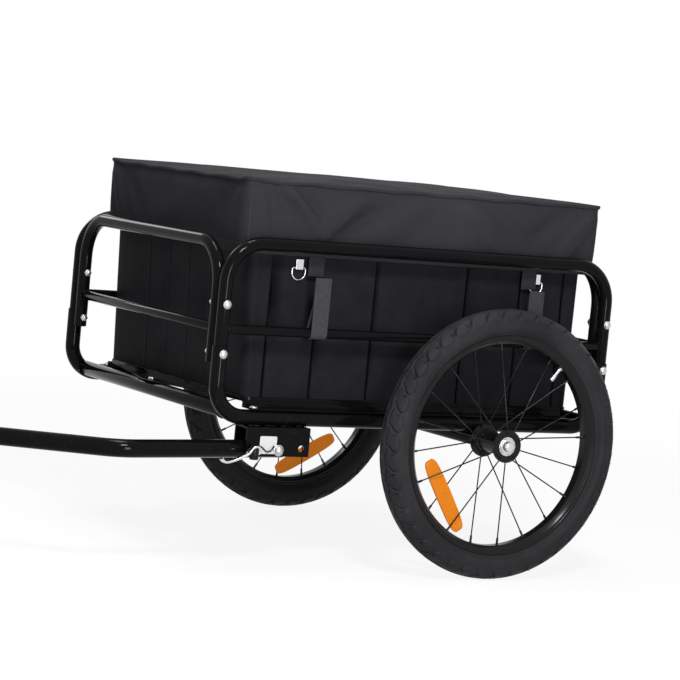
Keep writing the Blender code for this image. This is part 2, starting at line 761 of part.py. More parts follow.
def crate_mesh():
    """An open-topped box with grooved walls, splayed at the ends, and a wide rim that fills the cover."""
    low = crate_outline(CRATE_FRONT_Y, CRATE_REAR_Y)
    high = crate_outline(CRATE_FRONT_Y - CRATE_FRONT_SPLAY, CRATE_REAR_Y + CRATE_REAR_SPLAY)
    count = len(low)
    vertices = [(x, y, CRATE_Z) for x, y in low] + [(x, y, CRATE_TOP_Z) for x, y in high]
    faces = [(i, (i + 1) % count, count + (i + 1) % count, count + i) for i in range(count)]
    faces += [tuple(range(count)), tuple(range(count, 2 * count))]
    body = mesh_from(vertices, faces)
    fit = COVER_FABRIC + GAP
    rim_outline = rounded_rectangle(
        COVER_HALF - fit, COVER_FRONT_Y + fit, COVER_REAR_Y - fit, COVER_CORNER - fit, COVER_CORNER_STEPS
    )
    rim = prism(rim_outline, CRATE_TOP_Z - CRATE_RIM_HEIGHT, CRATE_TOP_Z, 2)
    inner = CRATE_HALF - CRATE_WALL
    corner = CRATE_CORNER - CRATE_WALL
    lower_hole = rounded_rectangle(inner, CRATE_FRONT_Y + CRATE_WALL, CRATE_REAR_Y - CRATE_WALL, corner)
    over = CRATE_TOP_Z + CRATE_RIM_HEIGHT
    steep = (over - CRATE_Z) / (CRATE_TOP_Z - CRATE_Z)
    upper_hole = rounded_rectangle(
        inner,
        CRATE_FRONT_Y + CRATE_WALL - CRATE_FRONT_SPLAY * steep,
        CRATE_REAR_Y - CRATE_WALL + CRATE_REAR_SPLAY * steep,
        corner,
    )
    count = len(lower_hole)
    vertices = [(x, y, CRATE_Z + CRATE_WALL) for x, y in lower_hole] + [(x, y, over) for x, y in upper_hole]
    faces = [(i, (i + 1) % count, count + (i + 1) % count, count + i) for i in range(count)]
    faces += [tuple(range(count)), tuple(range(count, 2 * count))]
    return machined(body, ("UNION", rim), ("DIFFERENCE", mesh_from(vertices, faces)))


def keeper_mesh():
    """The small metal loop on the wall, about the ring's hinge line."""
    half_depth = KEEPER_DEPTH / 2
    half_width = KEEPER_WIDTH / 2
    top = KEEPER_HEIGHT - KEEPER_LIP
    block = box(-half_depth, half_depth, -half_width, half_width, -KEEPER_LIP, top)
    hole = rod((0, -KEEPER_WIDTH, 0), (0, KEEPER_WIDTH, 0), RING_WIRE + 1.3 * GAP, 8)
    return machined(block, ("DIFFERENCE", hole))


def ring_mesh():
    """A wire D: the straight side on the hinge line, the round side hanging."""
    half = RING_WIDTH / 2 - RING_WIRE
    centre_z = half + 2 * RING_WIRE - RING_HEIGHT
    corners = ((0, half, centre_z), (0, half, 0), (0, -half, 0), (0, -half, centre_z))
    path = rounded_path(corners, 3 * RING_WIRE, 2)
    for k in range(1, 8):
        angle = math.pi + math.pi * k / 8
        path.append(Vector((0, half * math.cos(angle), centre_z + half * math.sin(angle))))
    return swept(path, X_AXIS, circle(RING_WIRE, 6), closed=True)


def build_crate(trailer, plastic, steel):
    """The crate with its lashing rings, each about its hinge line."""
    placed("crate", crate_mesh(), plastic, trailer)
    keeper = keeper_mesh()
    ring = ring_mesh()
    for side, turn, word in ((1, 0, "left"), (-1, HALF_TURN, "right")):
        for end, y in zip(("front", "rear"), RING_YS):
            hinge = (side * RING_X, y, RING_Z)
            placed(f"{word}_{end}_ring_keeper", keeper, steel, trailer, hinge, (0, 0, turn))
            placed(f"{word}_{end}_lashing_ring", ring, steel, trailer, hinge, (0, 0, turn))


# Cover and straps

def cover_outline():
    """(x, y, outward direction, wave) round the cover: the wave is how far its hem swings out there."""
    straight_steps = {0: 16, 1: 8, 2: 16, 3: 8}
    corners = rounded_rectangle(COVER_HALF, COVER_FRONT_Y, COVER_REAR_Y, COVER_CORNER, COVER_CORNER_STEPS)
    count = COVER_CORNER_STEPS + 1
    outline = []
    for i in range(4):
        for x, y in corners[count * i : count * i + count]:
            centre_x = math.copysign(COVER_HALF - COVER_CORNER, x)
            centre_y = COVER_FRONT_Y + COVER_CORNER if i in (0, 3) else COVER_REAR_Y - COVER_CORNER
            outwards = Vector((x - centre_x, y - centre_y)).normalized()
            outline.append((Vector((x, y)), outwards, 0.0))
        start = Vector(corners[count * i + count - 1])
        stop = Vector(corners[(count * i + count) % len(corners)])
        run = (stop - start).length
        outwards = Vector((stop.y - start.y, start.x - stop.x)).normalized()
        height = SIDE_WAVE if i % 2 == 0 else END_WAVE
        waves = round(run / WAVE_LENGTH)
        for k in range(1, straight_steps[i]):
            share = k / straight_steps[i]
            swing = 1 + math.sin(2 * math.pi * waves * share)
            wave = height * swing * math.sin(math.pi * share) ** 0.5
            outline.append((start.lerp(stop, share), outwards, wave))
    return outline


def cover_rows():
    """The fabric's section from the middle of the top to the hem and back inside.

    Each row is (share of the way out from the middle, offset, height, share of the wave).
    """
    edge = COVER_EDGE_Z
    skirt = edge - COVER_LIP_HEIGHT
    hem = COVER_HEM_Z
    rows = [(share, 0, edge + COVER_CROWN * (1 - share**2), 0) for share in (0, 0.35, 0.7, 0.93)]
    rows += [(1, COVER_LIP / 2, edge, 0), (1, COVER_LIP, edge - COVER_LIP_HEIGHT / 2, 0), (1, 0, skirt, 0)]
    rows += [(1, 0, skirt + (hem - skirt) * t, t**1.5) for t in (0.4, 0.75, 1)]
    inside = -COVER_FABRIC
    rows += [(1, inside, skirt + (hem - skirt) * t, t**1.5) for t in (1, 0.6)]
    rows += [(1, inside, edge - COVER_FABRIC, 0)]
    rows += [(share, inside, edge - COVER_FABRIC + COVER_CROWN * (1 - share**2), 0) for share in (0.7, 0)]
    return rows


def cover_mesh():
    """One closed skin: crowned top, sewn lip, waving skirt and its inside, with a strap tab at each strap."""
    outline = cover_outline()
    centre = Vector((0, (COVER_FRONT_Y + COVER_REAR_Y) / 2))
    vertices = []
    rings = []
    for share, offset, height, wave_share in cover_rows():
        if share == 0:
            rings.append([len(vertices)])
            vertices.append((*centre, height))
            continue
        rings.append(range(len(vertices), len(vertices) + len(outline)))
        for spot, outwards, wave in outline:
            point = centre + (spot + outwards * (offset + wave * wave_share) - centre) * share
            vertices.append((*point, height))
    faces = []
    count = len(outline)
    for a, b in zip(rings, rings[1:]):
        for j in range(count):
            k = (j + 1) % count
            if len(a) == 1:
                faces.append((a[0], b[j], b[k]))
            elif len(b) == 1:
                faces.append((a[j], a[k], b[0]))
            else:
                faces.append((a[j], a[k], b[k], b[j]))
    inner = COVER_HALF - COVER_FABRIC * 0.9
    strip = TAB_OUTER_X - TAB_STRIP
    seam_foot = COVER_HEM_Z + 2 * TAB_STRIP
    tab = [
        (strip, TAB_FOOT_Z),
        (TAB_OUTER_X, TAB_FOOT_Z),
        (TAB_OUTER_X, seam_foot + TAB_SEAM),
        (inner, seam_foot + TAB_SEAM),
        (inner, seam_foot),
        (strip, seam_foot),
    ]
    tabs = []
    for y in STRAP_YS:
        for side in (1, -1):
            mirrored = [(side * x, z) for x, z in tab]
            tabs.append(prism(mirrored, y - STRAP_WIDTH / 2, y + STRAP_WIDTH / 2, 1))
    return machined(mesh_from(vertices, faces), ("UNION", joined(tabs)))


def strap_mesh():
    """A hook-and-loop strap: a flat tail from the tab down, and a loop round the mid bar of the left side."""
    centre = Vector((RAIL_X, MID_BAR_Z))
    apex = Vector((STRAP_X, STRAP_APEX_Z))
    wrap = MID_BAR_OD / 2 + GAP + STRAP_SHEET / 2
    towards = apex - centre
    spread = math.acos(wrap / towards.length)
    heading = math.atan2(towards.y, towards.x)
    around = 2 * math.pi - 2 * spread
    steps = 10
    loop = [apex]
    for k in range(steps + 1):
        angle = heading - spread - around * k / steps
        loop.append(centre + wrap / math.cos(around / steps / 2) * Vector((math.cos(angle), math.sin(angle))))
    swell = STRAP_SHEET / 2 / wrap
    outer = [tuple(centre + (p - centre) * (1 + swell)) for p in loop]
    inner = [tuple(centre + (p - centre) * (1 - swell)) for p in loop]
    low = -STRAP_WIDTH / 2
    high = STRAP_WIDTH / 2
    band = prism(outer, low, high, 1, hole=inner)
    tail = box(STRAP_X - STRAP_SHEET, STRAP_X + STRAP_SHEET, low, high, STRAP_APEX_Z, TAB_FOOT_Z - GAP)
    return machined(band, ("UNION", tail))


def build_cover(trailer, fabric, webbing):
    """The lift-off cover, and the straps that hold it to the side bars."""
    placed("cover", cover_mesh(), fabric, trailer)
    strap = strap_mesh()
    for side, turn, word in ((1, 0, "left"), (-1, HALF_TURN, "right")):
        for end, y in zip(("front", "rear"), STRAP_YS):
            placed(f"{word}_{end}_strap_loop", strap, webbing, trailer, (0, y, 0), (0, 0, turn))


# Wheels, each built about the middle of its hub with +X outwards

def tyre_mesh():
    """An open-bottomed casing whose beads sit in the rim."""
    half = TYRE_WIDTH / 2
    bead = RIM_WIDTH / 2 - RIM_WALL - GAP
    wide = RIM_RADIUS + (TYRE_RADIUS - RIM_RADIUS) * 0.43
    shoulder = RIM_RADIUS + (TYRE_RADIUS - RIM_RADIUS) * 0.8
    outer = [
        (bead, RIM_BASE + GAP),
        (bead, RIM_RADIUS + 2 * GAP),
        (half, wide),
        (half * 0.84, shoulder),
        (half * 0.32, TYRE_RADIUS),
    ]
    inner = [(half * 0.65, shoulder - TYRE_WALL), (bead - TYRE_WALL, RIM_BASE + GAP)]
    right = outer + [(-x, r) for x, r in reversed(outer)]
    left = [(-x, r) for x, r in reversed(inner)] + inner
    return turned(right + left, WHEEL_SIDES, ring=True)


def rim_mesh():
    """A box-section rim: upright sides about the well, then drawn in to a narrow inner face."""
    half = RIM_WIDTH / 2
    well = half - RIM_WALL
    profile = [
        (half, RIM_RADIUS),
        (well, RIM_RADIUS),
        (well, RIM_BASE),
        (-well, RIM_BASE),
        (-well, RIM_RADIUS),
        (-half, RIM_RADIUS),
        (-half, RIM_RADIUS - RIM_SIDE_DEPTH),
        (-RIM_INNER_WIDTH / 2, RIM_INNER),
        (RIM_INNER_WIDTH / 2, RIM_INNER),
        (half, RIM_RADIUS - RIM_SIDE_DEPTH),
    ]
    return turned(profile, WHEEL_SIDES, ring=True)


def hub_mesh():
    """The flanged hub and its radial spokes, which go to the two flanges by turns."""
    seat = BEARING_RADIUS + GAP
    collar = seat + BEARING_SEAT_WALL
    depth = BEARING_WIDTH + GAP
    outer_flange = HUB_OUTER_END - FLANGE_WIDTH
    inner_flange = HUB_INNER_END + INNER_FLANGE_SET
    bore = STUB_RADIUS + 2 * GAP
    profile = [
        (HUB_OUTER_END, seat),
        (HUB_OUTER_END, FLANGE_RADIUS),
        (outer_flange, FLANGE_RADIUS),
        (outer_flange, collar),
        (HUB_OUTER_END - depth - FLANGE_WIDTH / 2, BARREL_RADIUS),
        (HUB_INNER_END + depth + 2 * FLANGE_WIDTH, BARREL_RADIUS),
        (inner_flange + FLANGE_WIDTH, collar),
        (inner_flange + FLANGE_WIDTH, FLANGE_RADIUS),
        (inner_flange, FLANGE_RADIUS),
        (inner_flange, collar),
        (HUB_INNER_END, collar),
        (HUB_INNER_END, seat),
        (HUB_INNER_END + depth, seat),
        (HUB_INNER_END + depth, bore),
        (HUB_OUTER_END - depth, bore),
        (HUB_OUTER_END - depth, seat),
    ]
    hub = turned(profile, HUB_SIDES, ring=True)
    spoke_end = RIM_INNER * math.cos(math.pi / WHEEL_SIDES) - SPOKE_SEAT
    flanges = (HUB_OUTER_END - FLANGE_WIDTH / 2, inner_flange + FLANGE_WIDTH / 2)
    spokes = []
    for i in range(SPOKES):
        angle = SPOKE_PHASE + math.radians(90) + 2 * math.pi * i / SPOKES
        out = Vector((0, math.cos(angle), math.sin(angle)))
        root = X_AXIS * flanges[i % 2] + out * SPOKE_CIRCLE
        spokes.append(rod(root, out * spoke_end, SPOKE_RADIUS, 5))
    return machined(hub, ("UNION", joined(spokes)))


def bearing_mesh():
    profile = [
        (0, BEARING_BORE),
        (0, BEARING_RADIUS),
        (-BEARING_WIDTH, BEARING_RADIUS),
        (-BEARING_WIDTH, BEARING_BORE),
    ]
    return turned(profile, TUBE_SIDES, ring=True)


def stub_mesh():
    """The axle stub: thick in the axle tube, thin in the bearings, headed outside and bored for the button."""
    shoulder = HUB_INNER_END - GAP
    head = HUB_OUTER_END + GAP
    thin = BEARING_BORE - GAP
    bore = BUTTON_RADIUS + GAP
    bore_end = head + STUB_HEAD - BUTTON_LENGTH - BUTTON_TRAVEL
    profile = (
        (shoulder - STUB_LENGTH, 0),
        (shoulder - STUB_LENGTH, STUB_RADIUS),
        (shoulder, STUB_RADIUS),
        (shoulder, thin),
        (head, thin),
        (head, STUB_HEAD_RADIUS),
        (head + STUB_HEAD, STUB_HEAD_RADIUS),
        (head + STUB_HEAD, bore),
        (bore_end, bore),
        (bore_end, 0),
    )
    return turned(profile, TUBE_SIDES)


def button_mesh():
    """The release button at rest, its dome clear of the stub's head by the travel."""
    dome = HUB_OUTER_END + GAP + STUB_HEAD + BUTTON_TRAVEL + GAP
    profile = (
        (dome - BUTTON_LENGTH, 0),
        (dome - BUTTON_LENGTH, BUTTON_RADIUS),
        (dome, BUTTON_RADIUS),
        (dome, BUTTON_DOME_RADIUS),
        (dome + BUTTON_DOME * 0.6, BUTTON_DOME_RADIUS * 0.75),
        (dome + BUTTON_DOME, 0),
    )
    return turned(profile, TUBE_SIDES)


def reflector_mesh():
    """A flat bar with round ends, along Z, between the two fans of spokes."""
    radius = REFLECTOR_WIDTH / 2
    straight = REFLECTOR_LENGTH / 2 - radius
    outline = []
    for start, z in ((0, straight), (180, -straight)):
        for k in range(6):
            angle = math.radians(start + 180 * k / 5)
            outline.append((radius * math.cos(angle), z + radius * math.sin(angle)))
    return prism(outline, REFLECTOR_OUTER_X - REFLECTOR_THICKNESS, REFLECTOR_OUTER_X, 0)


def build_wheels(trailer, rubber, rim_paint, steel, amber):
    """Both wheels on their stubs. The reflector's angle is measured in the wheel from +Y towards +Z."""
    tyre = tyre_mesh()
    rim = rim_mesh()
    hub = hub_mesh()
    bearing = bearing_mesh()
    stub = stub_mesh()
    button = button_mesh()
    reflector = reflector_mesh()
    sides = ((1, 0, "left", LEFT_REFLECTOR_TURN), (-1, HALF_TURN, "right", RIGHT_REFLECTOR_TURN))
    for side, turn, word, reflector_angle in sides:
        wheel = empty(f"{word}_wheel_axis", trailer, (side * WHEEL_X, 0, 0), (0, 0, turn))
        placed(f"{word}_tyre", tyre, rubber, wheel)
        placed(f"{word}_rim", rim, rim_paint, wheel)
        placed(f"{word}_hub", hub, rim_paint, wheel)
        inner_face = HUB_INNER_END + BEARING_WIDTH
        placed(f"{word}_outer_bearing", bearing, steel, wheel, (HUB_OUTER_END, 0, 0))
        placed(f"{word}_inner_bearing", bearing, steel, wheel, (inner_face, 0, 0))
        placed(f"{word}_axle_stub", stub, steel, wheel)
        placed(f"{word}_release_button", button, steel, wheel)
        spot = REFLECTOR_RADIUS * Vector((0, math.cos(reflector_angle), math.sin(reflector_angle)))
        placed(f"{word}_reflector", reflector, amber, wheel, spot, (reflector_angle, 0, 0))


# Hitch

def arc_slot(radius, half_width, start, end, steps=6):
    """The outline of a slot that follows a circle about the origin of (y, z), round at its start."""
    outline = []
    for k in range(steps + 1):
        angle = start + (end - start) * k / steps
        outline.append((radius + half_width, angle))
    inner = [(radius - half_width, angle) for _, angle in reversed(outline)]
    points = [(-r * math.cos(a), -r * math.sin(a)) for r, a in outline + inner]
    middle = Vector((-radius * math.cos(start), -radius * math.sin(start)))
    for k in range(1, 4):
        angle = start + math.pi * k / 4
        points.append(tuple(middle + half_width * Vector((math.cos(angle), math.sin(angle)))))
    return points


def bracket_mesh():
    """An inverted channel, about the pivot: drilled for pivot and spare hole, slotted for the lock skewer."""
    top = RAIL_Z - LOWER_OD / 2 - GAP - PIVOT_Z
    foot = -PLATE_BELOW_PIVOT
    inside = PLATE_OUT - PLATE
    outline = [
        (-PLATE_OUT, foot),
        (-PLATE_OUT, top),
        (PLATE_OUT, top),
        (PLATE_OUT, foot),
        (inside, foot),
        (inside, top - PLATE),
        (-inside, top - PLATE),
        (-inside, foot),
    ]
    channel = prism(outline, -PLATE_AHEAD, PLATE_BEHIND, 1)
    through = 2 * PLATE_OUT
    pivot_hole = rod((-through, 0, 0), (through, 0, 0), PIVOT_RADIUS + BOLT_SLIP)
    spare = (SPARE_HOLE_BACK, SPARE_HOLE_UP)
    spare_hole = rod((-through, *spare), (through, *spare), SPARE_HOLE_RADIUS)
    slot = arc_slot(LOCK_REACH, LOCK_RADIUS + BOLT_SLIP, BAR_SLOPE, LOCK_OPENING)
    return machined(
        channel,
        ("DIFFERENCE", pivot_hole),
        ("DIFFERENCE", spare_hole),
        ("DIFFERENCE", prism(slot, -through, through, 0)),
    )


def drawbar_corners():
    """The drawbar's ends and bends, about the pivot."""
    inwards = BAR_FORWARD * math.cos(BAR_BEND) - X_AXIS * math.sin(BAR_BEND)
    first_bend = BAR_FORWARD * BAR_TO_BEND
    second_bend = first_bend + inwards * BAR_CROSS_RUN
    return (-BAR_FORWARD * BAR_TAIL, first_bend, second_bend, second_bend + BAR_FORWARD * BAR_NOSE_RUN)


def drawbar_mesh():
    upright = X_AXIS.cross(BAR_FORWARD)
    path = rounded_path(drawbar_corners(), BAR_BEND_RADIUS)
    tube = swept(
        path, upright, circle(BAR_OD / 2, TUBE_SIDES), circle(BAR_OD / 2 - BAR_WALL, TUBE_SIDES)
    )
    across = X_AXIS * BAR_OD
    pivot_hole = rod(-across, across, PIVOT_RADIUS + BOLT_SLIP)
    lock_hole = rod(LOCK_SPOT - across, LOCK_SPOT + across, LOCK_RADIUS + BOLT_SLIP, 8)
    return machined(tube, ("DIFFERENCE", pivot_hole), ("DIFFERENCE", lock_hole))


def pivot_bolt_mesh():
    head = PLATE_OUT + GAP
    washer_top = head + PIVOT_WASHER
    nut = -PLATE_OUT - GAP
    profile = (
        (nut - PIVOT_NUT, 0),
        (nut - PIVOT_NUT, PIVOT_NUT_FLAT, True),
        (nut, PIVOT_NUT_FLAT, True),
        (nut, PIVOT_RADIUS),
        (head, PIVOT_RADIUS),
        (head, PIVOT_WASHER_RADIUS),
        (washer_top, PIVOT_WASHER_RADIUS),
        (washer_top, PIVOT_HEAD_RADIUS),
        (washer_top + PIVOT_HEAD * 0.6, PIVOT_HEAD_RADIUS * 0.8),
        (washer_top + PIVOT_HEAD, 0),
    )
    return turned(profile, 12)


def skewer_mesh():
    """The lock skewer: nut inboard, rod through bracket and drawbar, barrel outboard."""
    head = PLATE_OUT + GAP
    nut = -PLATE_OUT - GAP
    profile = (
        (nut - LOCK_NUT, 0),
        (nut - LOCK_NUT, LOCK_NUT_FLAT, True),
        (nut, LOCK_NUT_FLAT, True),
        (nut, LOCK_RADIUS),
        (head, LOCK_RADIUS),
        (head, LOCK_BARREL_RADIUS),
        (head + LOCK_BARREL, LOCK_BARREL_RADIUS),
        (head + LOCK_BARREL, 0),
    )
    return turned(profile, 12)


def lever_mesh():
    """The cam head, upright, and the lever that arches over it and runs forward to a turned-up tip."""
    half = CAM_HEIGHT / 2
    head = rod((0, 0, -half), (0, 0, half), CAM_RADIUS)
    over = half + LEVER_HALF_THICKNESS / 2
    nose = CAM_RADIUS + LEVER_HALF_THICKNESS + LEVER_STEP
    corners = (
        (0, CAM_RADIUS * 0.4, over),
        (0, -CAM_RADIUS * 0.8, over),
        (0, -nose, -half * 0.2),
        (0, -nose - (LEVER_REACH - nose) * 0.5, -half * 0.75),
        (0, -nose - (LEVER_REACH - nose) * 0.87, -half * 0.95),
        (0, -LEVER_REACH, -half * 0.45),
    )
    section = [
        (LEVER_HALF_WIDTH, LEVER_HALF_THICKNESS),
        (-LEVER_HALF_WIDTH, LEVER_HALF_THICKNESS),
        (-LEVER_HALF_WIDTH, -LEVER_HALF_THICKNESS),
        (LEVER_HALF_WIDTH, -LEVER_HALF_THICKNESS),
    ]
    strip = swept(rounded_path(corners, LEVER_STEP, 2), X_AXIS, section)
    return machined(head, ("UNION", strip))


def smooth_route(points, step):
    """Points a step apart on the Catmull-Rom curve through the given ones."""
    spots = [Vector(p) for p in points]
    spots = [spots[0] * 2 - spots[1]] + spots + [spots[-1] * 2 - spots[-2]]
    route = []
    for a, b, c, d in zip(spots, spots[1:], spots[2:], spots[3:]):
        pieces = max(1, round((c - b).length / step))
        for k in range(pieces):
            t = k / pieces
            blend = 2 * b + (c - a) * t + (2 * a - 5 * b + 4 * c - d) * t**2
            route.append((blend + (3 * b - a - 3 * c + d) * t**3) / 2)
    route.append(spots[-2])
    return route


def tether_curve():
    """The keeper cord, from the top of the lock's barrel to the washer of the pivot bolt, about the pivot."""
    x = PLATE_OUT + 2 * GAP + TETHER_RADIUS
    over_barrel = LOCK_BARREL_RADIUS + 2 * GAP + TETHER_RADIUS
    beside_washer = PIVOT_WASHER_RADIUS + 2 * GAP + TETHER_RADIUS
    route = [
        LOCK_SPOT + Vector((x, 0, over_barrel)),
        LOCK_SPOT + Vector((x, over_barrel, over_barrel * 0.55)),
        Vector((x, -2.0 * beside_washer, -0.2 * beside_washer)),
        Vector((x, -1.25 * beside_washer, 0)),
        Vector((x, -0.85 * beside_washer, 0.65 * beside_washer)),
    ]
    curve = bpy.data.curves.new("tether", "CURVE")
    curve.dimensions = "3D"
    curve.bevel_depth = TETHER_RADIUS
    curve.bevel_resolution = 2
    curve.use_fill_caps = True
    points = smooth_route(route, TETHER_STEP)
    spline = curve.splines.new("POLY")
    spline.points.add(len(points) - 1)
    for spot, point in zip(points, spline.points):
        point.co = (*spot, 1)
    return curve


def coupler_mesh():
    """The coupler about the drawbar's end: a plug in the tube, a collar and a two-eared clevis towards -Y."""
    plug_radius = BAR_OD / 2 - BAR_WALL - GAP
    profile = (
        (HEAD_PLUG, 0),
        (HEAD_PLUG, plug_radius),
        (-GAP, plug_radius),
        (-GAP, BAR_OD / 2),
        (-GAP - HEAD_COLLAR, BAR_OD / 2),
        (-GAP - HEAD_COLLAR, 0),
    )
    spindle = moved(turned(profile, TUBE_SIDES), Matrix.Rotation(math.pi / 2, 4, "Z"))
    outline = [(HEAD_HALF_WIDTH, -HEAD_COLLAR / 2), (-HEAD_HALF_WIDTH, -HEAD_COLLAR / 2)]
    for k in range(9):
        angle = math.pi + math.pi * k / 8
        x = HEAD_HALF_WIDTH * math.cos(angle)
        outline.append((x, -HEAD_PIN_REACH + HEAD_HALF_WIDTH * math.sin(angle)))
    clevis = prism(outline, -HEAD_HALF_HEIGHT, HEAD_HALF_HEIGHT, 2)
    wide = 2 * HEAD_HALF_WIDTH
    slot_end = -HEAD_PIN_REACH - wide
    slot = box(-wide, wide, slot_end, -HEAD_SLOT_START, -HEAD_SLOT / 2, HEAD_SLOT / 2)
    tall = 2 * HEAD_HALF_HEIGHT
    hole = rod((0, -HEAD_PIN_REACH, -tall), (0, -HEAD_PIN_REACH, tall), PIN_RADIUS + BOLT_SLIP)
    return machined(spindle, ("UNION", clevis), ("DIFFERENCE", slot), ("DIFFERENCE", hole))


def drop_pin_mesh():
    """The coupler's pin, along Z about the middle of the clevis."""
    seat = HEAD_HALF_HEIGHT + GAP
    profile = (
        (-HEAD_HALF_HEIGHT - PIN_TAIL, 0),
        (-HEAD_HALF_HEIGHT - PIN_TAIL, PIN_RADIUS),
        (seat, PIN_RADIUS),
        (seat, PIN_HEAD_RADIUS),
        (seat + PIN_HEAD, PIN_HEAD_RADIUS),
        (seat + PIN_HEAD, 0),
    )
    return moved(turned(profile, TUBE_SIDES), Matrix.Rotation(-math.pi / 2, 4, "Y"))


def build_hitch(trailer, paint, zinc, steel, cord):
    """The bracket, and the drawbar that swings in it with the lock, the cord and the coupler."""
    pivot = (RAIL_X, PIVOT_Y, PIVOT_Z)
    placed("hitch_bracket", bracket_mesh(), paint, trailer, pivot)
    placed("pivot_bolt", pivot_bolt_mesh(), zinc, trailer, pivot)
    swing = empty("drawbar_pivot", trailer, pivot)
    placed("drawbar", drawbar_mesh(), paint, swing)
    placed("lock_skewer", skewer_mesh(), steel, swing, LOCK_SPOT)
    placed("lock_lever", lever_mesh(), steel, swing, CAM_SPOT)
    tether = bpy.data.objects.new("tether_cord", tether_curve())
    tether.data.materials.append(cord)
    bpy.context.scene.collection.objects.link(tether)
    tether.parent = swing
    nose = drawbar_corners()[-1]
    coupler = placed("hitch_head", coupler_mesh(), paint, swing, nose, (BAR_SLOPE, 0, 0))
    placed("hitch_pin", drop_pin_mesh(), zinc, coupler, (0, -HEAD_PIN_REACH, 0))


def main():
    clear_scene()
    nose = PIVOT_Y + drawbar_corners()[-1].y
    head_reach = HEAD_PIN_REACH + HEAD_HALF_WIDTH
    foremost = nose - head_reach * math.cos(BAR_SLOPE) - HEAD_HALF_HEIGHT * math.sin(BAR_SLOPE)
    rearmost = REAR_Y + LOWER_OD / 2
    trailer = empty("trailer", location=(0, -(foremost + rearmost) / 2, TYRE_RADIUS))
    paint = principled("black_paint", (0.012, 0.012, 0.013), 0.22)
    zinc = principled("bolt_zinc", (0.62, 0.62, 0.62), 0.3, 1.0)
    steel = principled("bright_steel", (0.7, 0.7, 0.7), 0.25, 1.0)
    rubber = principled("tyre_rubber", (0.02, 0.02, 0.022), 0.75)
    rim_paint = principled("rim_black", (0.012, 0.012, 0.013), 0.3)
    plastic = principled("crate_plastic", (0.025, 0.025, 0.027), 0.55)
    fabric = principled("cover_fabric", (0.03, 0.03, 0.033), 0.7)
    webbing = principled("strap_webbing", (0.035, 0.036, 0.038), 0.85)
    amber = principled("reflector_amber", (0.85, 0.28, 0.01), 0.25)
    cord = principled("cord_black", (0.015, 0.015, 0.015), 0.5)
    build_frame(trailer, paint, zinc)
    build_crate(trailer, plastic, steel)
    build_cover(trailer, fabric, webbing)
    build_wheels(trailer, rubber, rim_paint, steel, amber)
    build_hitch(trailer, paint, zinc, steel, cord)


main()
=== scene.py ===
"""Bicycle cargo trailer: the finish of every surface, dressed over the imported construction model.

The sections follow the trailer as it is put together. Everything is in metres, in the construction's own
frame: +X is the trailer's left, -Y is towards the towing bicycle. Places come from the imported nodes.
"""

import math

import bmesh
import bpy
import numpy as np
from mathutils import Matrix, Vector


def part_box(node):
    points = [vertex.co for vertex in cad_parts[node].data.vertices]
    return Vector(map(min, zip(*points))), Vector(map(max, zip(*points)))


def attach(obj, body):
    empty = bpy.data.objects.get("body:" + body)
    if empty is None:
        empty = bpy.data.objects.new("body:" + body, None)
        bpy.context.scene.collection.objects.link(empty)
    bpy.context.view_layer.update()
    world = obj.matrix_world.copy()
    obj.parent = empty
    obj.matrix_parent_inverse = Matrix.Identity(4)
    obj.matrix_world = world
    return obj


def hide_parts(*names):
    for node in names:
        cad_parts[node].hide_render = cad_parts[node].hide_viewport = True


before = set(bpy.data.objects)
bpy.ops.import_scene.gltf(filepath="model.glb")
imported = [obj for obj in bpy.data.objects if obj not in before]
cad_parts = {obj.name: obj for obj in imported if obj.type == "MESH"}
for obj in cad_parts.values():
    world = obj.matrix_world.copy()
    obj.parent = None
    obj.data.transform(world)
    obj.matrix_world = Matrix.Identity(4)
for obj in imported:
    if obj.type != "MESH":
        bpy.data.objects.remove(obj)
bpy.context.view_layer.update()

# Camera
# A long lens near the height of the load, looking down on the trailer a little from its left front.
# The trailer is photographed nose up: the camera takes that tilt as its roll, and the model stays level.
CAMERA_FROM_AXLE = (3.4676, -2.1594, 0.4414)
CAMERA_YAW = math.radians(-59.303)
CAMERA_PITCH = math.radians(-4.671)
CAMERA_ROLL = math.radians(5.474)
CAMERA_LENS = 139.96
X_AXIS = np.array([1.0, 0.0, 0.0])
Y_AXIS = np.array([0.0, 1.0, 0.0])
Z_AXIS = np.array([0.0, 0.0, 1.0])


def node_corners(node):
    """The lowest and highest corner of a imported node, as arrays."""
    low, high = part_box(node)
    return np.array(low), np.array(high)


def node_middle(node):
    """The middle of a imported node's box."""
    low, high = node_corners(node)
    return (low + high) / 2


AXLE = node_middle("axle_tube") * (0, 1, 1)


def add_object(name, data):
    """A new object of this data, in the scene."""
    made = bpy.data.objects.new(name, data)
    bpy.context.scene.collection.objects.link(made)
    return made


def axes_matrix(right, up, back, spot):
    """The matrix of an object at the spot whose own axes point these ways."""
    matrix = np.eye(4)
    matrix[:3] = np.column_stack([right, up, back, spot])
    return Matrix(matrix.tolist())


def camera_matrix():
    """The camera's turn and place: its view line from yaw and pitch, then rolled about that line."""
    level = np.array([math.cos(CAMERA_YAW), -math.sin(CAMERA_YAW), 0.0])
    ahead = np.array([math.sin(CAMERA_YAW), math.cos(CAMERA_YAW), 0.0])
    forward = math.cos(CAMERA_PITCH) * ahead + math.sin(CAMERA_PITCH) * Z_AXIS
    above = np.cross(level, forward)
    right = math.cos(CAMERA_ROLL) * level + math.sin(CAMERA_ROLL) * above
    up = -math.sin(CAMERA_ROLL) * level + math.cos(CAMERA_ROLL) * above
    return axes_matrix(right, up, -forward, AXLE + CAMERA_FROM_AXLE)


lens = bpy.data.cameras.new("camera")
lens.lens = CAMERA_LENS
lens.sensor_width = 36.0
camera = add_object("camera", lens)
camera.matrix_world = camera_matrix()
bpy.context.scene.camera = camera

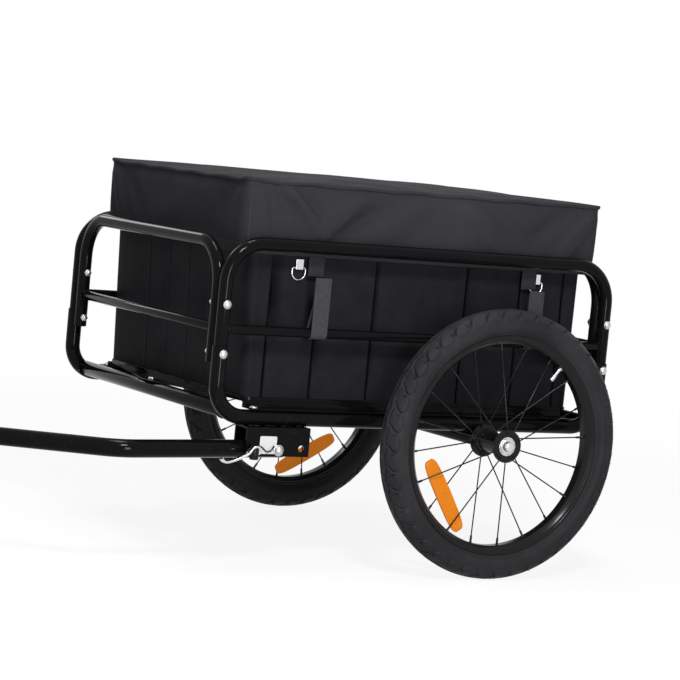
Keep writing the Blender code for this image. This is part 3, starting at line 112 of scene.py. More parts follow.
# Side frames
# Each side is two U-shaped steel tubes: a lower one, and an upper one whose legs plug into it and are bolted.
# A thin bar is welded across the upper U. The tubes are bent cold and powder coated in gloss black.
LOWER_RADIUS = 0.0111
LOWER_WALL = 0.0013
LOWER_BEND = 0.050
UPPER_RADIUS = 0.0095
UPPER_BEND = 0.056
UPPER_WALL = 0.0015
BAR_RADIUS = 0.007
RAIL_X = node_middle("left_lower_rail")[0]
FRONT_Y = node_corners("left_lower_rail")[0][1] + LOWER_RADIUS
REAR_Y = node_corners("left_lower_rail")[1][1] - LOWER_RADIUS
RAIL_Z = node_corners("left_lower_rail")[0][2] + LOWER_RADIUS
SOCKET_Z = node_corners("left_lower_rail")[1][2]
UPPER_FOOT_Z = node_corners("left_upper_rail")[0][2]
TOP_Z = node_corners("left_upper_rail")[1][2] - UPPER_RADIUS
MID_BAR_Z = AXLE[2] + 0.1427
BEAD_RADIUS = 0.0017
BEAD_RIPPLE = 0.14
BEAD_DROPS = 17
SIDES = ((1, "left"), (-1, "right"))
ENDS = ((FRONT_Y, "front"), (REAR_Y, "rear"))


def node(tree, kind, inputs=None, **settings):
    """A shader node with these settings, whose inputs take the given values or output sockets."""
    made = tree.nodes.new("ShaderNode" + kind)
    for key, value in settings.items():
        setattr(made, key, value)
    for key, value in (inputs or {}).items():
        if isinstance(value, bpy.types.NodeSocket):
            tree.links.new(value, made.inputs[key])
        else:
            made.inputs[key].default_value = value
    return made


def maths(tree, operation, *values, clamp=False):
    """The output of a Math node on these values or sockets."""
    made = node(tree, "Math", dict(enumerate(values)), operation=operation, use_clamp=clamp)
    return made.outputs[0]


def ramp(tree, value, low, high, to_low=0.0, to_high=1.0):
    """The value mapped smoothly from its range low to high onto to_low to to_high."""
    inputs = {"Value": value, "From Min": low, "From Max": high, "To Min": to_low, "To Max": to_high}
    return node(tree, "MapRange", inputs, interpolation_type="SMOOTHSTEP").outputs["Result"]


def blend_colour(tree, share, one, other):
    """The colour between one and the other, by share."""
    inputs = {"Factor": share, 6: one, 7: other}
    return node(tree, "Mix", inputs, data_type="RGBA").outputs[2]


def send(tree, inputs, **outputs):
    """Links each output to the input of its name, in which an underscore stands for a space."""
    for key, output in outputs.items():
        tree.links.new(output, inputs[key.replace("_", " ")])


def effect_group(name, inputs, outputs):
    """An empty node group with these inputs, as (name, default), and these outputs.

    It comes with its sockets seen from inside: first those of its inputs, then those of its outputs.
    """
    group = bpy.data.node_groups.new(name, "ShaderNodeTree")
    for label, default in inputs:
        kind = "NodeSocketVector" if default is None else "NodeSocketFloat"
        socket = group.interface.new_socket(label, in_out="INPUT", socket_type=kind)
        if default is not None:
            socket.default_value = default
    for label in outputs:
        group.interface.new_socket(label, in_out="OUTPUT", socket_type="NodeSocketFloat")
    return group, group.nodes.new("NodeGroupInput").outputs, group.nodes.new("NodeGroupOutput").inputs


def noise(tree, place, scale, detail, **more):
    """The value of a noise at the place."""
    inputs = {"Vector": place, "Scale": scale, "Detail": detail, **more}
    return node(tree, "TexNoise", inputs).outputs["Fac"]


def surface_grain():
    """Noise: Fine at the given scale, Broad at a fortieth of it, and Speck, the rare peaks of Fine."""
    inputs = (("Vector", None), ("Scale", 400.0))
    group, source, result = effect_group("surface_grain", inputs, ("Fine", "Broad", "Speck"))
    fine = noise(group, source["Vector"], source["Scale"], 3.0)
    broad = noise(group, source["Vector"], maths(group, "DIVIDE", source["Scale"], 40.0), 4.0, Roughness=0.6)
    send(group, result, Fine=fine, Broad=broad, Speck=ramp(group, fine, 0.64, 0.72))
    return group


def handling_marks():
    """Scuff: hairlines where a stretched noise crosses its mean, kept where a broad noise, Dust, is high."""
    inputs = (("Vector", None), ("Scale", 60.0), ("Amount", 0.5))
    group, source, result = effect_group("handling_marks", inputs, ("Scuff", "Dust"))
    stretch = node(group, "Mapping", {"Vector": source["Vector"], "Scale": (1.0, 0.25, 0.25)}).outputs
    lines = noise(group, stretch["Vector"], source["Scale"], 2.0, Distortion=1.5)
    crest = maths(group, "ABSOLUTE", maths(group, "SUBTRACT", lines, 0.5))
    thin = ramp(group, crest, 0.0, 0.006, 1.0, 0.0)
    where = noise(group, source["Vector"], maths(group, "DIVIDE", source["Scale"], 5.0), 3.0)
    kept = maths(group, "MULTIPLY", thin, ramp(group, where, 0.5, 0.68))
    scuff = maths(group, "MULTIPLY", kept, source["Amount"])
    dust = maths(group, "MULTIPLY", ramp(group, where, 0.42, 0.75), source["Amount"])
    send(group, result, Scuff=scuff, Dust=dust)
    return group


GRAIN = surface_grain()
MARKS = handling_marks()


def new_material(name, **constants):
    """A material, its tree and its Principled shader, with these constants on the shader's own sockets."""
    material = bpy.data.materials.new(name)
    material.use_nodes = True
    tree = material.node_tree
    shader = tree.nodes["Principled BSDF"]
    for key, value in constants.items():
        shader.inputs[key.replace("_", " ")].default_value = value
    return material, tree, shader


def effect(tree, group, **inputs):
    """The outputs of an effect group placed in a material."""
    return node(tree, "Group", inputs, node_tree=group).outputs


def place_of(tree, kind="Object"):
    """Object coordinates, in metres from the trailer's own origin, or the mesh's own UV, also in metres."""
    return tree.nodes.new("ShaderNodeTexCoord").outputs[kind]


def finish(tree, shader, colour, rough, height, distance):
    """Gives the shader its colour, its roughness, and a height of 0 to 1 as relief of that many metres."""
    normal = node(tree, "Bump", {"Distance": distance, "Height": height}).outputs["Normal"]
    send(tree, shader.inputs, Base_Color=colour, Roughness=rough, Normal=normal)


def worn_material(name, scale, tones, rough, relief, marks=(), wear=(), scuffed=0, shade=(), **constants):
    """A material of the two effects: its tone from the broad noise, and its relief from the fine one.

    rough names an output and gives its range and the roughness at both ends. marks is the scale and amount of
    the marks, wear an output with its share and colour, scuffed what a scuff adds to the roughness, and shade
    an attribute of the mesh with the colour of painted shade that it blends in.
    """
    material, tree, shader = new_material(name, **constants)
    place = place_of(tree)
    found = dict(effect(tree, GRAIN, Vector=place, Scale=scale).items())
    if marks:
        found.update(effect(tree, MARKS, Vector=place, Scale=marks[0], Amount=marks[1]).items())
    colour = blend_colour(tree, found["Broad"], *tones)
    if wear:
        colour = blend_colour(tree, maths(tree, "MULTIPLY", found[wear[0]], wear[1]), colour, wear[2])
    # Painted shade: the attribute's share blends a darker colour in, where shade would fall.
    if shade:
        share = node(tree, "Attribute", attribute_name=shade[0]).outputs["Fac"]
        colour = blend_colour(tree, share, colour, shade[1])
    roughness = ramp(tree, found[rough[0]], *rough[1:])
    if scuffed:
        roughness = maths(tree, "ADD", roughness, maths(tree, "MULTIPLY", found["Scuff"], scuffed))
    finish(tree, shader, colour, roughness, found["Fine"], relief)
    return material


def gloss_paint(name, tones, smooth, rough, peel, shine):
    """Powder coat: a little orange peel and uneven gloss, and hairline scuffs from handling."""
    wear = ("Scuff", 0.5, (0.03, 0.03, 0.032, 1))
    spread = ("Broad", 0.3, 0.7, smooth, rough)
    return worn_material(name, 420.0, tones, spread, peel, (70.0, 0.7), wear, 0.25, Specular_IOR_Level=shine)


BLACK_TONES = ((0.0022, 0.0022, 0.0025, 1), (0.0042, 0.0042, 0.0048, 1))
BLACK_PAINT = gloss_paint("black_paint", BLACK_TONES, 0.08, 0.13, 0.00004, 0.06)


def bent(corners, radius, steps=14):
    """Straight runs between the corners, with each inner corner bent to an arc of the radius.

    The arc runs from the tangent point before the corner: centre + r (direction sin a - side cos a).
    Where a run is too short for it, the arc shrinks to fit. It works in two or three dimensions.
    """
    corners = np.asarray(corners, float)
    path = [corners[:1]]
    for before, corner, after in zip(corners, corners[1:], corners[2:]):
        run_in = np.linalg.norm(corner - before)
        run_out = np.linalg.norm(after - corner)
        into = (corner - before) / run_in
        out = (after - corner) / run_out
        turn = math.acos(np.clip(into @ out, -1.0, 1.0))
        if turn < 0.02:
            path.append(corner[None])
            continue
        reach = min(radius * math.tan(turn / 2), 0.45 * run_in, 0.45 * run_out)
        arc_radius = reach / math.tan(turn / 2)
        side = out - into * (into @ out)
        side /= np.linalg.norm(side)
        angle = np.linspace(0, turn, steps + 1)[:, None]
        centre = corner - into * reach + side * arc_radius
        path.append(centre + arc_radius * (into * np.sin(angle) - side * np.cos(angle)))
    path.append(corners[-1:])
    return np.concatenate(path)


def unit(vectors):
    """The vectors at length 1."""
    return vectors / np.linalg.norm(vectors, axis=-1, keepdims=True)


def swept(centres, direction, across, section, swell):
    """The section's points (across, beside) set square to the direction at each centre, and scaled by swell.

    beside is the direction crossed with across. The result is a grid of rows by section points.
    """
    beside = unit(np.cross(direction, np.broadcast_to(across, direction.shape)))
    across = np.cross(beside, direction)
    points = swell[:, None, None] * section
    return centres[:, None] + points[..., :1] * across[:, None] + points[..., 1:] * beside[:, None]


def carry(path, across, section, swell=None):
    """The section swept along the path."""
    path = np.asarray(path, float)
    swell = np.ones(len(path)) if swell is None else swell
    return swept(path, unit(np.gradient(path, axis=0)), across, section, swell)


def circle(radius, sides):
    """A circle as (across, beside) points, with its first point again at the end."""
    angle = np.linspace(0, 2 * math.pi, sides + 1)
    return radius * np.stack([np.cos(angle), np.sin(angle)], -1)


def tube(path, across, radius, wall=None, sides=28):
    """A round tube along the path. Its ends are flat with a broken edge, or bored where a wall is given.

    Each end is a run of (distance in from the end, radius), closed on the centre line.
    """
    path = np.asarray(path, float)
    edge = 0.05 * radius
    end = [(0, 0), (0, radius - edge), (0.3 * edge, radius - 0.3 * edge), (edge, radius)]
    if wall is not None:
        bore = radius - wall
        end = [(6 * radius, 0), (6 * radius, bore), (edge, bore), (0.3 * edge, bore + 0.3 * edge)]
        end += [(0, bore + edge), (0, radius - edge), (0.3 * edge, radius - 0.3 * edge), (edge, radius)]
    end = np.array(end)
    direction = unit(np.diff(path, axis=0))
    start = path[0] + direction[0] * end[:, :1]
    stop = path[-1] - direction[-1] * end[::-1, :1]
    centres = np.concatenate([start, path[1:-1], stop])
    first, last = direction[[0] * len(end)], direction[[-1] * len(end)]
    turns = np.concatenate([first, unit(path[2:] - path[:-2]), last])
    swell = np.concatenate([end[:, 1], np.full(len(path) - 2, radius), end[::-1, 1]])
    return swept(centres, turns, across, circle(1.0, sides), swell)


def bead(centre, main, branch, main_radius, branch_radius, offset=0.0, start=0.0, stop=2 * math.pi):
    """A weld bead where a branch tube meets the side of a main tube.

    It follows centre + r cos a main + (offset + r sin a) side + depth branch, with side square to both, and
    depth the square root of R squared less the side distance squared. It ripples, as a row of drops.
    """
    main = np.asarray(main, float)
    branch = np.asarray(branch, float)
    side = np.cross(main, branch)
    angle = np.linspace(start, stop, 120)[:, None]
    aside = np.clip(offset + branch_radius * np.sin(angle), -0.97 * main_radius, 0.97 * main_radius)
    depth = np.sqrt(main_radius**2 - aside**2)
    path = centre + branch_radius * np.cos(angle) * main + aside * side + depth * branch
    swell = 1 + BEAD_RIPPLE * np.sin(angle[:, 0] * BEAD_DROPS)
    if stop - start < 2 * math.pi:
        swell[0] = swell[-1] = 0.02
    return carry(path, path - centre, circle(BEAD_RADIUS, 8), swell)


def surface(name, patches):
    """A mesh of quads from patches: grids of points, or pairs of such a grid and its UV grid in metres.

    Without its own UV, a grid's U is the length along its longest row, and V that along its longest column.
    Doubles are merged, which closes seams and poles, and the faces are turned outwards.
    """
    points, quads, uvs = [], [], []
    count = 0
    for patch in patches:
        grid, uv = patch if isinstance(patch, tuple) else (patch, None)
        rows, columns = grid.shape[:2]
        if uv is None:
            along = np.linalg.norm(np.diff(grid, axis=1), axis=2)
            down = np.linalg.norm(np.diff(grid, axis=0), axis=2)
            u = np.concatenate([[0], np.cumsum(along[along.sum(1).argmax()])])
            v = np.concatenate([[0], np.cumsum(down[:, down.sum(0).argmax()])])
            uv = np.stack(np.meshgrid(u, v), -1)
        index = count + np.arange(rows * columns).reshape(rows, columns)
        quad = np.stack([index[:-1, :-1], index[:-1, 1:], index[1:, 1:], index[1:, :-1]], -1)
        points.append(grid.reshape(-1, 3))
        uvs.append(uv.reshape(-1, 2))
        quads.append(quad.reshape(-1, 4))
        count += rows * columns
    quads = np.concatenate(quads)
    mesh = bpy.data.meshes.new(name)
    mesh.from_pydata(np.concatenate(points).tolist(), [], quads.tolist())
    layer = mesh.uv_layers.new(name="metres")
    layer.data.foreach_set("uv", np.concatenate(uvs)[quads.ravel()].ravel())
    work = bmesh.new()
    work.from_mesh(mesh)
    bmesh.ops.remove_doubles(work, verts=work.verts, dist=1e-6)
    bmesh.ops.recalc_face_normals(work, faces=work.faces)
    work.to_mesh(mesh)
    work.free()
    return mesh


def piece(name, shape, material, body, *replaces, slot=None, sharp=38):
    """A named piece from a mesh or from patches, smooth up to the sharp angle, riding on its body.

    A slot is worked out, where none is given from the material's name without the number that Blender adds to
    a name in use, but it is not stored on the piece.
    """
    mesh = shape if isinstance(shape, bpy.types.Mesh) else surface(name, shape)
    mesh.materials.clear()
    mesh.materials.append(material)
    mesh.shade_smooth()
    mesh.set_sharp_from_angle(angle=math.radians(sharp))
    made = add_object(name, mesh)
    slot = slot or material.name.split(".")[0]
    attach(made, body)
    if replaces:
        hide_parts(*replaces)
    return made


def in_side_plane(x, pairs):
    """Points (y, z) set in the plane of a side frame."""
    pairs = np.asarray(pairs, float)
    return np.column_stack([np.full(len(pairs), x), pairs])


for side, word in SIDES:
    x = side * RAIL_X
    corners = ((FRONT_Y, SOCKET_Z), (FRONT_Y, RAIL_Z), (REAR_Y, RAIL_Z), (REAR_Y, SOCKET_Z))
    lower = tube(bent(in_side_plane(x, corners), LOWER_BEND), X_AXIS, LOWER_RADIUS, LOWER_WALL)
    piece(f"{word}_lower_side_tube", [lower], BLACK_PAINT, "frame", f"{word}_lower_rail")
    corners = ((FRONT_Y, UPPER_FOOT_Z), (FRONT_Y, TOP_Z), (REAR_Y, TOP_Z), (REAR_Y, UPPER_FOOT_Z))
    upper = tube(bent(in_side_plane(x, corners), UPPER_BEND), X_AXIS, UPPER_RADIUS)
    bar = tube([(x, FRONT_Y, MID_BAR_Z), (x, REAR_Y, MID_BAR_Z)], X_AXIS, BAR_RADIUS)
    ends = ((FRONT_Y, Y_AXIS), (REAR_Y, -Y_AXIS))
    welds = [bead((x, y, MID_BAR_Z), Z_AXIS, way, UPPER_RADIUS, BAR_RADIUS) for y, way in ends]
    piece(f"{word}_upper_side_tube", [upper, bar, *welds], BLACK_PAINT, "frame", f"{word}_upper_rail")

# Hoops
# Front and rear guards bent from the same 19 mm tube, with a welded bar, and bolted inside the side frames'
# posts. Their legs end just under the lower bolts, and are open at the foot.
HOOP_RADIUS = 0.0095
HOOP_BEND = 0.059
HOOP_X = node_corners("front_hoop")[1][0] - HOOP_RADIUS
HOOP_TOP_Z = node_corners("front_hoop")[1][2] - HOOP_RADIUS
HOOP_FOOT_Z = node_corners("front_hoop")[0][2]
for y, word in ENDS:
    corners = ((-HOOP_X, HOOP_FOOT_Z), (-HOOP_X, HOOP_TOP_Z), (HOOP_X, HOOP_TOP_Z), (HOOP_X, HOOP_FOOT_Z))
    hoop = tube(bent([(x, y, z) for x, z in corners], HOOP_BEND), Y_AXIS, HOOP_RADIUS, UPPER_WALL)
    bar = tube([(-HOOP_X, y, MID_BAR_Z), (HOOP_X, y, MID_BAR_Z)], Y_AXIS, BAR_RADIUS)
    ends = ((HOOP_X, -X_AXIS), (-HOOP_X, X_AXIS))
    welds = [bead((x, y, MID_BAR_Z), Z_AXIS, way, HOOP_RADIUS, BAR_RADIUS) for x, way in ends]
    piece(f"{word}_guard_hoop", [hoop, bar, *welds], BLACK_PAINT, "frame", f"{word}_hoop")

# Cross tubes and axle tube
# Three straight tubes hold the two sides apart: one near each end and one for the wheels' stubs.
# They are cut to saddle the lower side tubes and welded there, and coated with them.
CROSS_RADIUS = 0.0111
STUB_BORE = 0.008


def floor_tube(name, source, wall, ways, start, stop):
    """A straight tube from side to side in place of its node, with a bead on each side tube for each way."""
    low, high = node_corners(source)
    centre = (low + high) / 2 * (0, 1, 1)
    reach = high * (1, 0, 0)
    rise = centre[2] - RAIL_Z
    grids = [tube([centre - reach, centre + reach], Y_AXIS, CROSS_RADIUS, wall)]
    for side, _ in SIDES:
        spot = (side * RAIL_X, centre[1], RAIL_Z)
        for way in ways:
            branch = way * (X_AXIS if len(ways) > 1 else -side * X_AXIS)
            grids.append(bead(spot, side * Y_AXIS, branch, LOWER_RADIUS, CROSS_RADIUS, rise, start, stop))
    piece(name, grids, BLACK_PAINT, "frame", source)


floor_tube("front_floor_tube", "front_cross_tube", None, (1,), 2.9, 6.5)
floor_tube("rear_floor_tube", "rear_cross_tube", None, (1,), 2.9, 6.5)
floor_tube("stub_carrier_tube", "axle_tube", CROSS_RADIUS - STUB_BORE, (-1, 1), 0.1, 3.1)

# Floor tray
# A shallow pan pressed from sheet steel, with folded tabs that bolt to the cross tubes and the lower side
# tubes. Its pressed edges are rounded, and it is coated black with the frame.
TRAY_EDGE = 0.0004


def softened_copy(name, source, material, body, edge):
    """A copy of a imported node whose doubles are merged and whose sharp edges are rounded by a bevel."""
    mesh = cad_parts[source].data.copy()
    work = bmesh.new()
    work.from_mesh(mesh)
    bmesh.ops.remove_doubles(work, verts=work.verts, dist=1e-6)
    flat = math.radians(0.5)
    bmesh.ops.dissolve_limit(work, angle_limit=flat, verts=work.verts, edges=work.edges)
    work.to_mesh(mesh)
    work.free()
    made = piece(name, mesh, material, body, source)
    bevel = made.modifiers.new("rounded_edges", "BEVEL")
    bevel.width = edge
    bevel.segments = 2
    bevel.limit_method = "ANGLE"
    bevel.angle_limit = math.radians(35)
    bevel.harden_normals = True


softened_copy("pressed_tray", "floor_tray", BLACK_PAINT, "frame", TRAY_EDGE)

# Bolts
# Zinc-plated domed bolts with a washer outside each post and a cap nut inside the hoop's leg.
# Four more hold the tray's tabs. They are the only bright points of the frame.
BOLT_HEAD_RADIUS = 0.0055
BOLT_HEAD = 0.0036
BOLT_WASHER_RADIUS = 0.0062
BOLT_WASHER = 0.0009
BOLT_RADIUS = 0.003
NUT_FLAT = 0.005
NUT_HEIGHT = 0.005
NUT_DOME = 0.0025
DOME_FOOT = 1.3 * BOLT_WASHER
OVER_CORNERS = 1.155
CLEARANCE = 0.0003


def bare_metal(name, tones, smooth, rough, scale):
    """Plated or polished steel: brushed tone and roughness, with dull specks and a few scuffs."""
    wear = ("Speck", 0.35, (0.2, 0.2, 0.21, 1))
    return worn_material(
        name, scale, tones, ("Fine", 0.3, 0.7, smooth, rough), 0.00003, (220.0, 0.8), wear, 0.2, Metallic=1.0
    )


BOLT_ZINC = bare_metal("bolt_zinc", ((0.42, 0.42, 0.43, 1), (0.62, 0.62, 0.63, 1)), 0.24, 0.4, 900.0)
BRIGHT_STEEL = bare_metal("bright_steel", ((0.55, 0.55, 0.56, 1), (0.75, 0.75, 0.75, 1)), 0.14, 0.26, 700.0)


def revolved(profile, centre, axis, sides=28, flat=None, soft=0.0004):
    """The profile of (distance along the axis, radius) turned about the axis through the centre.

    Its corners are softened to small arcs. Where flat is given, the radius at each angle is held to that of a
    hexagon with this half width: flat over the cosine of the angle from the nearest face.
    """
    profile = bent(profile, soft, 3)
    axis = unit(np.asarray(axis, float))
    first = Z_AXIS if abs(axis[2]) < 0.9 else X_AXIS
    first = unit(first - axis * (first @ axis))
    second = np.cross(axis, first)
    angle = np.linspace(0, 2 * math.pi, sides + 1)
    radius = np.repeat(profile[:, 1:2], sides + 1, axis=1)
    if flat is not None:
        nearest = np.mod(angle + math.pi / 6, math.pi / 3) - math.pi / 6
        radius = np.minimum(radius, (flat / np.cos(nearest))[None])
    around = np.cos(angle)[:, None] * first + np.sin(angle)[:, None] * second
    return centre + profile[:, :1, None] * axis + radius[..., None] * around[None]


def dome(start, radius, height, steps=6):
    """The profile of a domed head: start + height sin a, radius cos a."""
    angle = np.linspace(0, math.pi / 2, steps)
    return list(zip(start + height * np.sin(angle), radius * np.cos(angle)))


def domed_bolt(foot, seat, rise):
    """The profile of a domed bolt: its shank from foot to seat, its washer, and a head of that rise."""
    washer = seat + BOLT_WASHER
    profile = [(foot, 0), (foot, BOLT_RADIUS), (seat, BOLT_RADIUS), (seat, BOLT_WASHER_RADIUS)]
    profile += [(washer, BOLT_WASHER_RADIUS), (washer, BOLT_HEAD_RADIUS)]
    return profile + dome(seat + DOME_FOOT, BOLT_HEAD_RADIUS, rise)


def frame_bolt(centre, outwards, post_radius):
    """A bolt along outwards through post and hoop leg: washer and dome outside, hexagonal cap nut inside."""
    nut = HOOP_X - RAIL_X - HOOP_RADIUS - CLEARANCE
    head = domed_bolt(nut + 0.001, post_radius + 0.0002, BOLT_HEAD - BOLT_WASHER)
    wide = NUT_FLAT * OVER_CORNERS
    brow = nut - NUT_HEIGHT * 0.9
    cap = [(nut, 0), (nut, wide * 0.94), (nut - 0.0004, wide), (nut - NUT_HEIGHT * 0.72, wide)]
    cap += [(brow, NUT_FLAT * 0.86)]
    cap += [(brow - d, r) for d, r in dome(0, NUT_FLAT * 0.8, NUT_DOME + NUT_HEIGHT * 0.1)]
    return [revolved(head, centre, outwards), revolved(cap, centre, outwards, 48, NUT_FLAT, 0.0002)]


bolts, bolt_nodes = [], []
for side, word in SIDES:
    for y, end in ENDS:
        for level, radius in (("upper", UPPER_RADIUS), ("lower", LOWER_RADIUS)):
            bolt_nodes.append(f"{word}_{end}_{level}_bolt")
            bolts += frame_bolt((side * RAIL_X, y, node_middle(bolt_nodes[-1])[2]), side * X_AXIS, radius)
for word in ("front", "rear", "left", "right"):
    bolt_nodes.append(f"{word}_tray_bolt")
    low, high = node_corners(bolt_nodes[-1])
    head = domed_bolt(0, high[2] - low[2] - BOLT_HEAD, BOLT_HEAD - DOME_FOOT)
    bolts.append(revolved(head, (low + high) / 2 * (1, 1, 0) + low * Z_AXIS, Z_AXIS))
piece("frame_and_tray_bolts", bolts, BOLT_ZINC, "frame", *bolt_nodes)

# Crate
# A black box, injection moulded with a finely grained skin, that stands in the tray. Its side walls have
# narrow upright grooves, and its end walls lean out and have low ribs. Its wide rim holds the cover's shape.
CRATE_WALL = 0.003
CRATE_CORNER = 0.013
CRATE_RIM_HEIGHT = 0.012
CRATE_RIM_CORNER = 0.0185
FRONT_SPLAY = 0.012
REAR_SPLAY = 0.003
GROOVE_WIDTH = 0.0052
GROOVE_DEPTH = 0.0026
GROOVE_SHADE = 1.2
RIB_HEIGHT = 0.0007
SIDE_GROOVES = np.array([-0.250, -0.173, -0.078, 0.078, 0.173, 0.250])
END_RIBS = np.array([-0.099, -0.032, 0.032, 0.099])
RIM_LOW, RIM_HIGH = node_corners("crate")
CRATE_HALF = 0.2175
CRATE_FRONT = AXLE[1] - 0.380
CRATE_REAR = AXLE[1] + 0.179
CRATE_TOP = RIM_HIGH[2]
CRATE_FOOT = RIM_LOW[2]
CRATE_MIDDLE = (CRATE_FRONT + CRATE_REAR) / 2


# Moulded polypropylene: a fine pebbled grain, paler flow marks, soft scuffs, and painted shade darkening the
# grooves of its side walls.
CRATE_PLASTIC = worn_material(
    "crate_plastic",
    1100.0,
    ((0.0066, 0.0067, 0.0082, 1), (0.0158, 0.016, 0.0188, 1)),
    ("Dust", 0.0, 0.8, 0.4, 0.56),
    0.00012,
    marks=(45.0, 0.8),
    wear=("Scuff", 0.35, (0.03, 0.03, 0.033, 1)),
    # Painted shade: the grooves of the side walls are darkened towards near black, by their depth.
    shade=("groove_painted_shade", (0.0006, 0.0006, 0.0008, 1)),
    Specular_IOR_Level=0.014,
)


def box_outline(half, front, rear, corner, side_steps, end_steps, corner_steps=8):
    """The outline of a box with round corners, counter-clockwise from its right front, closed.

    side_steps and end_steps are shares, 0 to 1, along the straight walls. It gives the points, the outward
    directions, and the length along the outline, each with the first point again at the end.
    """
    centres = ((half - corner, front + corner, -90), (half - corner, rear - corner, 0))
    centres += ((corner - half, rear - corner, 90), (corner - half, front + corner, 180))
    points, ways = [], []
    for i, (x, y, start) in enumerate(centres):
        angle = np.radians(start + 90 * np.linspace(0, 1, corner_steps + 1))
        way = np.stack([np.cos(angle), np.sin(angle)], -1)
        arc = np.array([x, y]) + corner * way
        next_x, next_y, _ = centres[(i + 1) % 4]
        turn = math.radians(start + 90)
        out = np.array([math.cos(turn), math.sin(turn)])
        stop = np.array([next_x, next_y]) + corner * out
        steps = side_steps if i % 2 == 0 else end_steps
        run = arc[-1] + (stop - arc[-1]) * steps[1:-1, None]
        points += [arc, run]
        ways += [way, np.broadcast_to(out, run.shape)]
    points = np.concatenate(points + [points[0][:1]])
    ways = np.concatenate(ways + [ways[0][:1]])
    length = np.concatenate([[0], np.cumsum(np.linalg.norm(np.diff(points, axis=0), axis=1))])
    return points, ways, length


def groove_steps(half_length, grooves):
    """Shares along a wall: even coarse steps, and fine ones across each groove."""
    fine = grooves[:, None] + np.linspace(-0.7, 0.7, 15) * GROOVE_WIDTH
    spots = np.concatenate([np.linspace(-half_length, half_length, 25), fine.ravel()])
    return np.unique((spots + half_length) / (2 * half_length))


def groove_dip(distance):
    """The share of its depth that a groove has at a distance from its middle: a V with a narrow flat foot."""
    share = np.clip(np.abs(distance) / (GROOVE_WIDTH / 2), 0, 1)
    return np.clip(1.15 * (1 - share), 0, 1)


side_run = (CRATE_REAR - CRATE_FRONT) / 2 - CRATE_CORNER
side_steps = groove_steps(side_run, SIDE_GROOVES)
end_steps = groove_steps(CRATE_HALF - CRATE_CORNER, END_RIBS)


def crate_row(z, inset=0.0, grooved=0.0):
    """The crate's wall at height z, inset by a distance and grooved by a share."""
    lift = (z - CRATE_FOOT) / (CRATE_TOP - CRATE_FOOT)
    front = CRATE_FRONT - FRONT_SPLAY * lift + inset
    rear = CRATE_REAR + REAR_SPLAY * lift - inset
    corner = max(CRATE_CORNER - inset, 0.002)
    points, ways, _ = box_outline(CRATE_HALF - inset, front, rear, corner, side_steps, end_steps)
    on_side, on_end = (np.abs(ways) > 0.999).T
    dip = GROOVE_DEPTH * groove_dip(points[:, 1:] - CRATE_MIDDLE - SIDE_GROOVES).max(1) * on_side
    dip = dip - RIB_HEIGHT * groove_dip(points[:, :1] - END_RIBS).max(1) * on_end
    points = points - ways * dip[:, None] * grooved
    return np.column_stack([points, np.full(len(points), z)])


def rim_row(z, inset):
    """The crate's wide rim at height z, inset from its outer face."""
    half, front, rear = RIM_HIGH[0] - inset, RIM_LOW[1] + inset, RIM_HIGH[1] - inset
    points = box_outline(half, front, rear, CRATE_RIM_CORNER - inset, side_steps, end_steps)[0]
    return np.column_stack([points, np.full(len(points), z)])


def crate_grid():
    """Rows from the middle of the underside, up the outside, round the rim, and down inside to the floor."""
    foot, brow, top, wall = CRATE_FOOT, CRATE_TOP - CRATE_RIM_HEIGHT, CRATE_TOP, CRATE_WALL
    middle = crate_row(foot, 0.02) * (0, 0, 1) + CRATE_MIDDLE * Y_AXIS
    outside = [(foot, 0.004), (foot + 0.0004, 0.0018), (foot + 0.0016, 0.0004), (foot + 0.004, 0)]
    outside += [(foot + 0.008, 0)]
    grooved = [foot + 0.012, *np.linspace(foot + 0.03, brow - 0.02, 12), brow - 0.006]
    rim = [(brow, 0.0006), (brow + 0.0006, 0), (top - 0.001, 0), (top, 0.001)]
    inside = [(top, wall - 0.001), (top - 0.001, wall)]
    inside += [(z, wall) for z in np.linspace(brow, foot + wall + 0.006, 10)]
    inside += [(foot + wall + 0.0015, wall + 0.0015), (foot + wall, wall + 0.006)]
    rows = [middle, *(crate_row(*row) for row in outside), *(crate_row(z, 0.0, 1.0) for z in grooved)]
    rows += [crate_row(brow - 0.003), crate_row(brow), *(rim_row(*row) for row in rim)]
    return np.stack([*rows, *(crate_row(*row) for row in inside), middle + Z_AXIS * wall])


def mesh_points(mesh):
    """The places of the mesh's points, as an array."""
    place = np.empty(len(mesh.vertices) * 3)
    mesh.vertices.foreach_get("co", place)
    return place.reshape(-1, 3)


def store_groove_painted_shade(mesh):
    """Stores on the mesh's points how deep each one is in a groove of the side walls, as the share of painted
    shade that darkens the grooves' colour.
    """
    place = mesh_points(mesh)
    share = groove_dip((place[:, 1:2] - CRATE_MIDDLE - SIDE_GROOVES) / GROOVE_SHADE).max(1)
    outside = np.abs(place[:, 0]) > CRATE_HALF - GROOVE_DEPTH - 0.0003
    below_rim = place[:, 2] < CRATE_TOP - CRATE_RIM_HEIGHT - 0.004
    made = mesh.attributes.new("groove_painted_shade", "FLOAT", "POINT")
    made.data.foreach_set("value", share * outside * below_rim)


crate = piece("moulded_crate", [crate_grid()], CRATE_PLASTIC, "frame", "crate", sharp=30)
store_groove_painted_shade(crate.data)

# Lashing rings
# Four bright wire rings, each hinged in a folded steel keeper that is riveted to the crate's wall under the
# hem. The wire is bent to a D, with its straight side in the keeper.
RING_WIRE = 0.00125
RING_WIDTH = 0.024
RING_HEIGHT = 0.020
KEEPER_EDGE = 0.0005


def ring_path():
    """A closed D of wire about its hinge line as (y, z): a straight side, two tight bends, a half circle."""
    half = RING_WIDTH / 2 - RING_WIRE
    low = half + 2 * RING_WIRE - RING_HEIGHT
    angle = np.linspace(math.pi, 2 * math.pi, 25)
    arc = np.stack([half * np.cos(angle), low + half * np.sin(angle)], -1)
    start = np.array([[0.0, 0.0]])
    corners = np.concatenate([start, [[-half, 0.0]], arc, [[half, 0.0]], start])
    return bent(corners, 3 * RING_WIRE, 6)


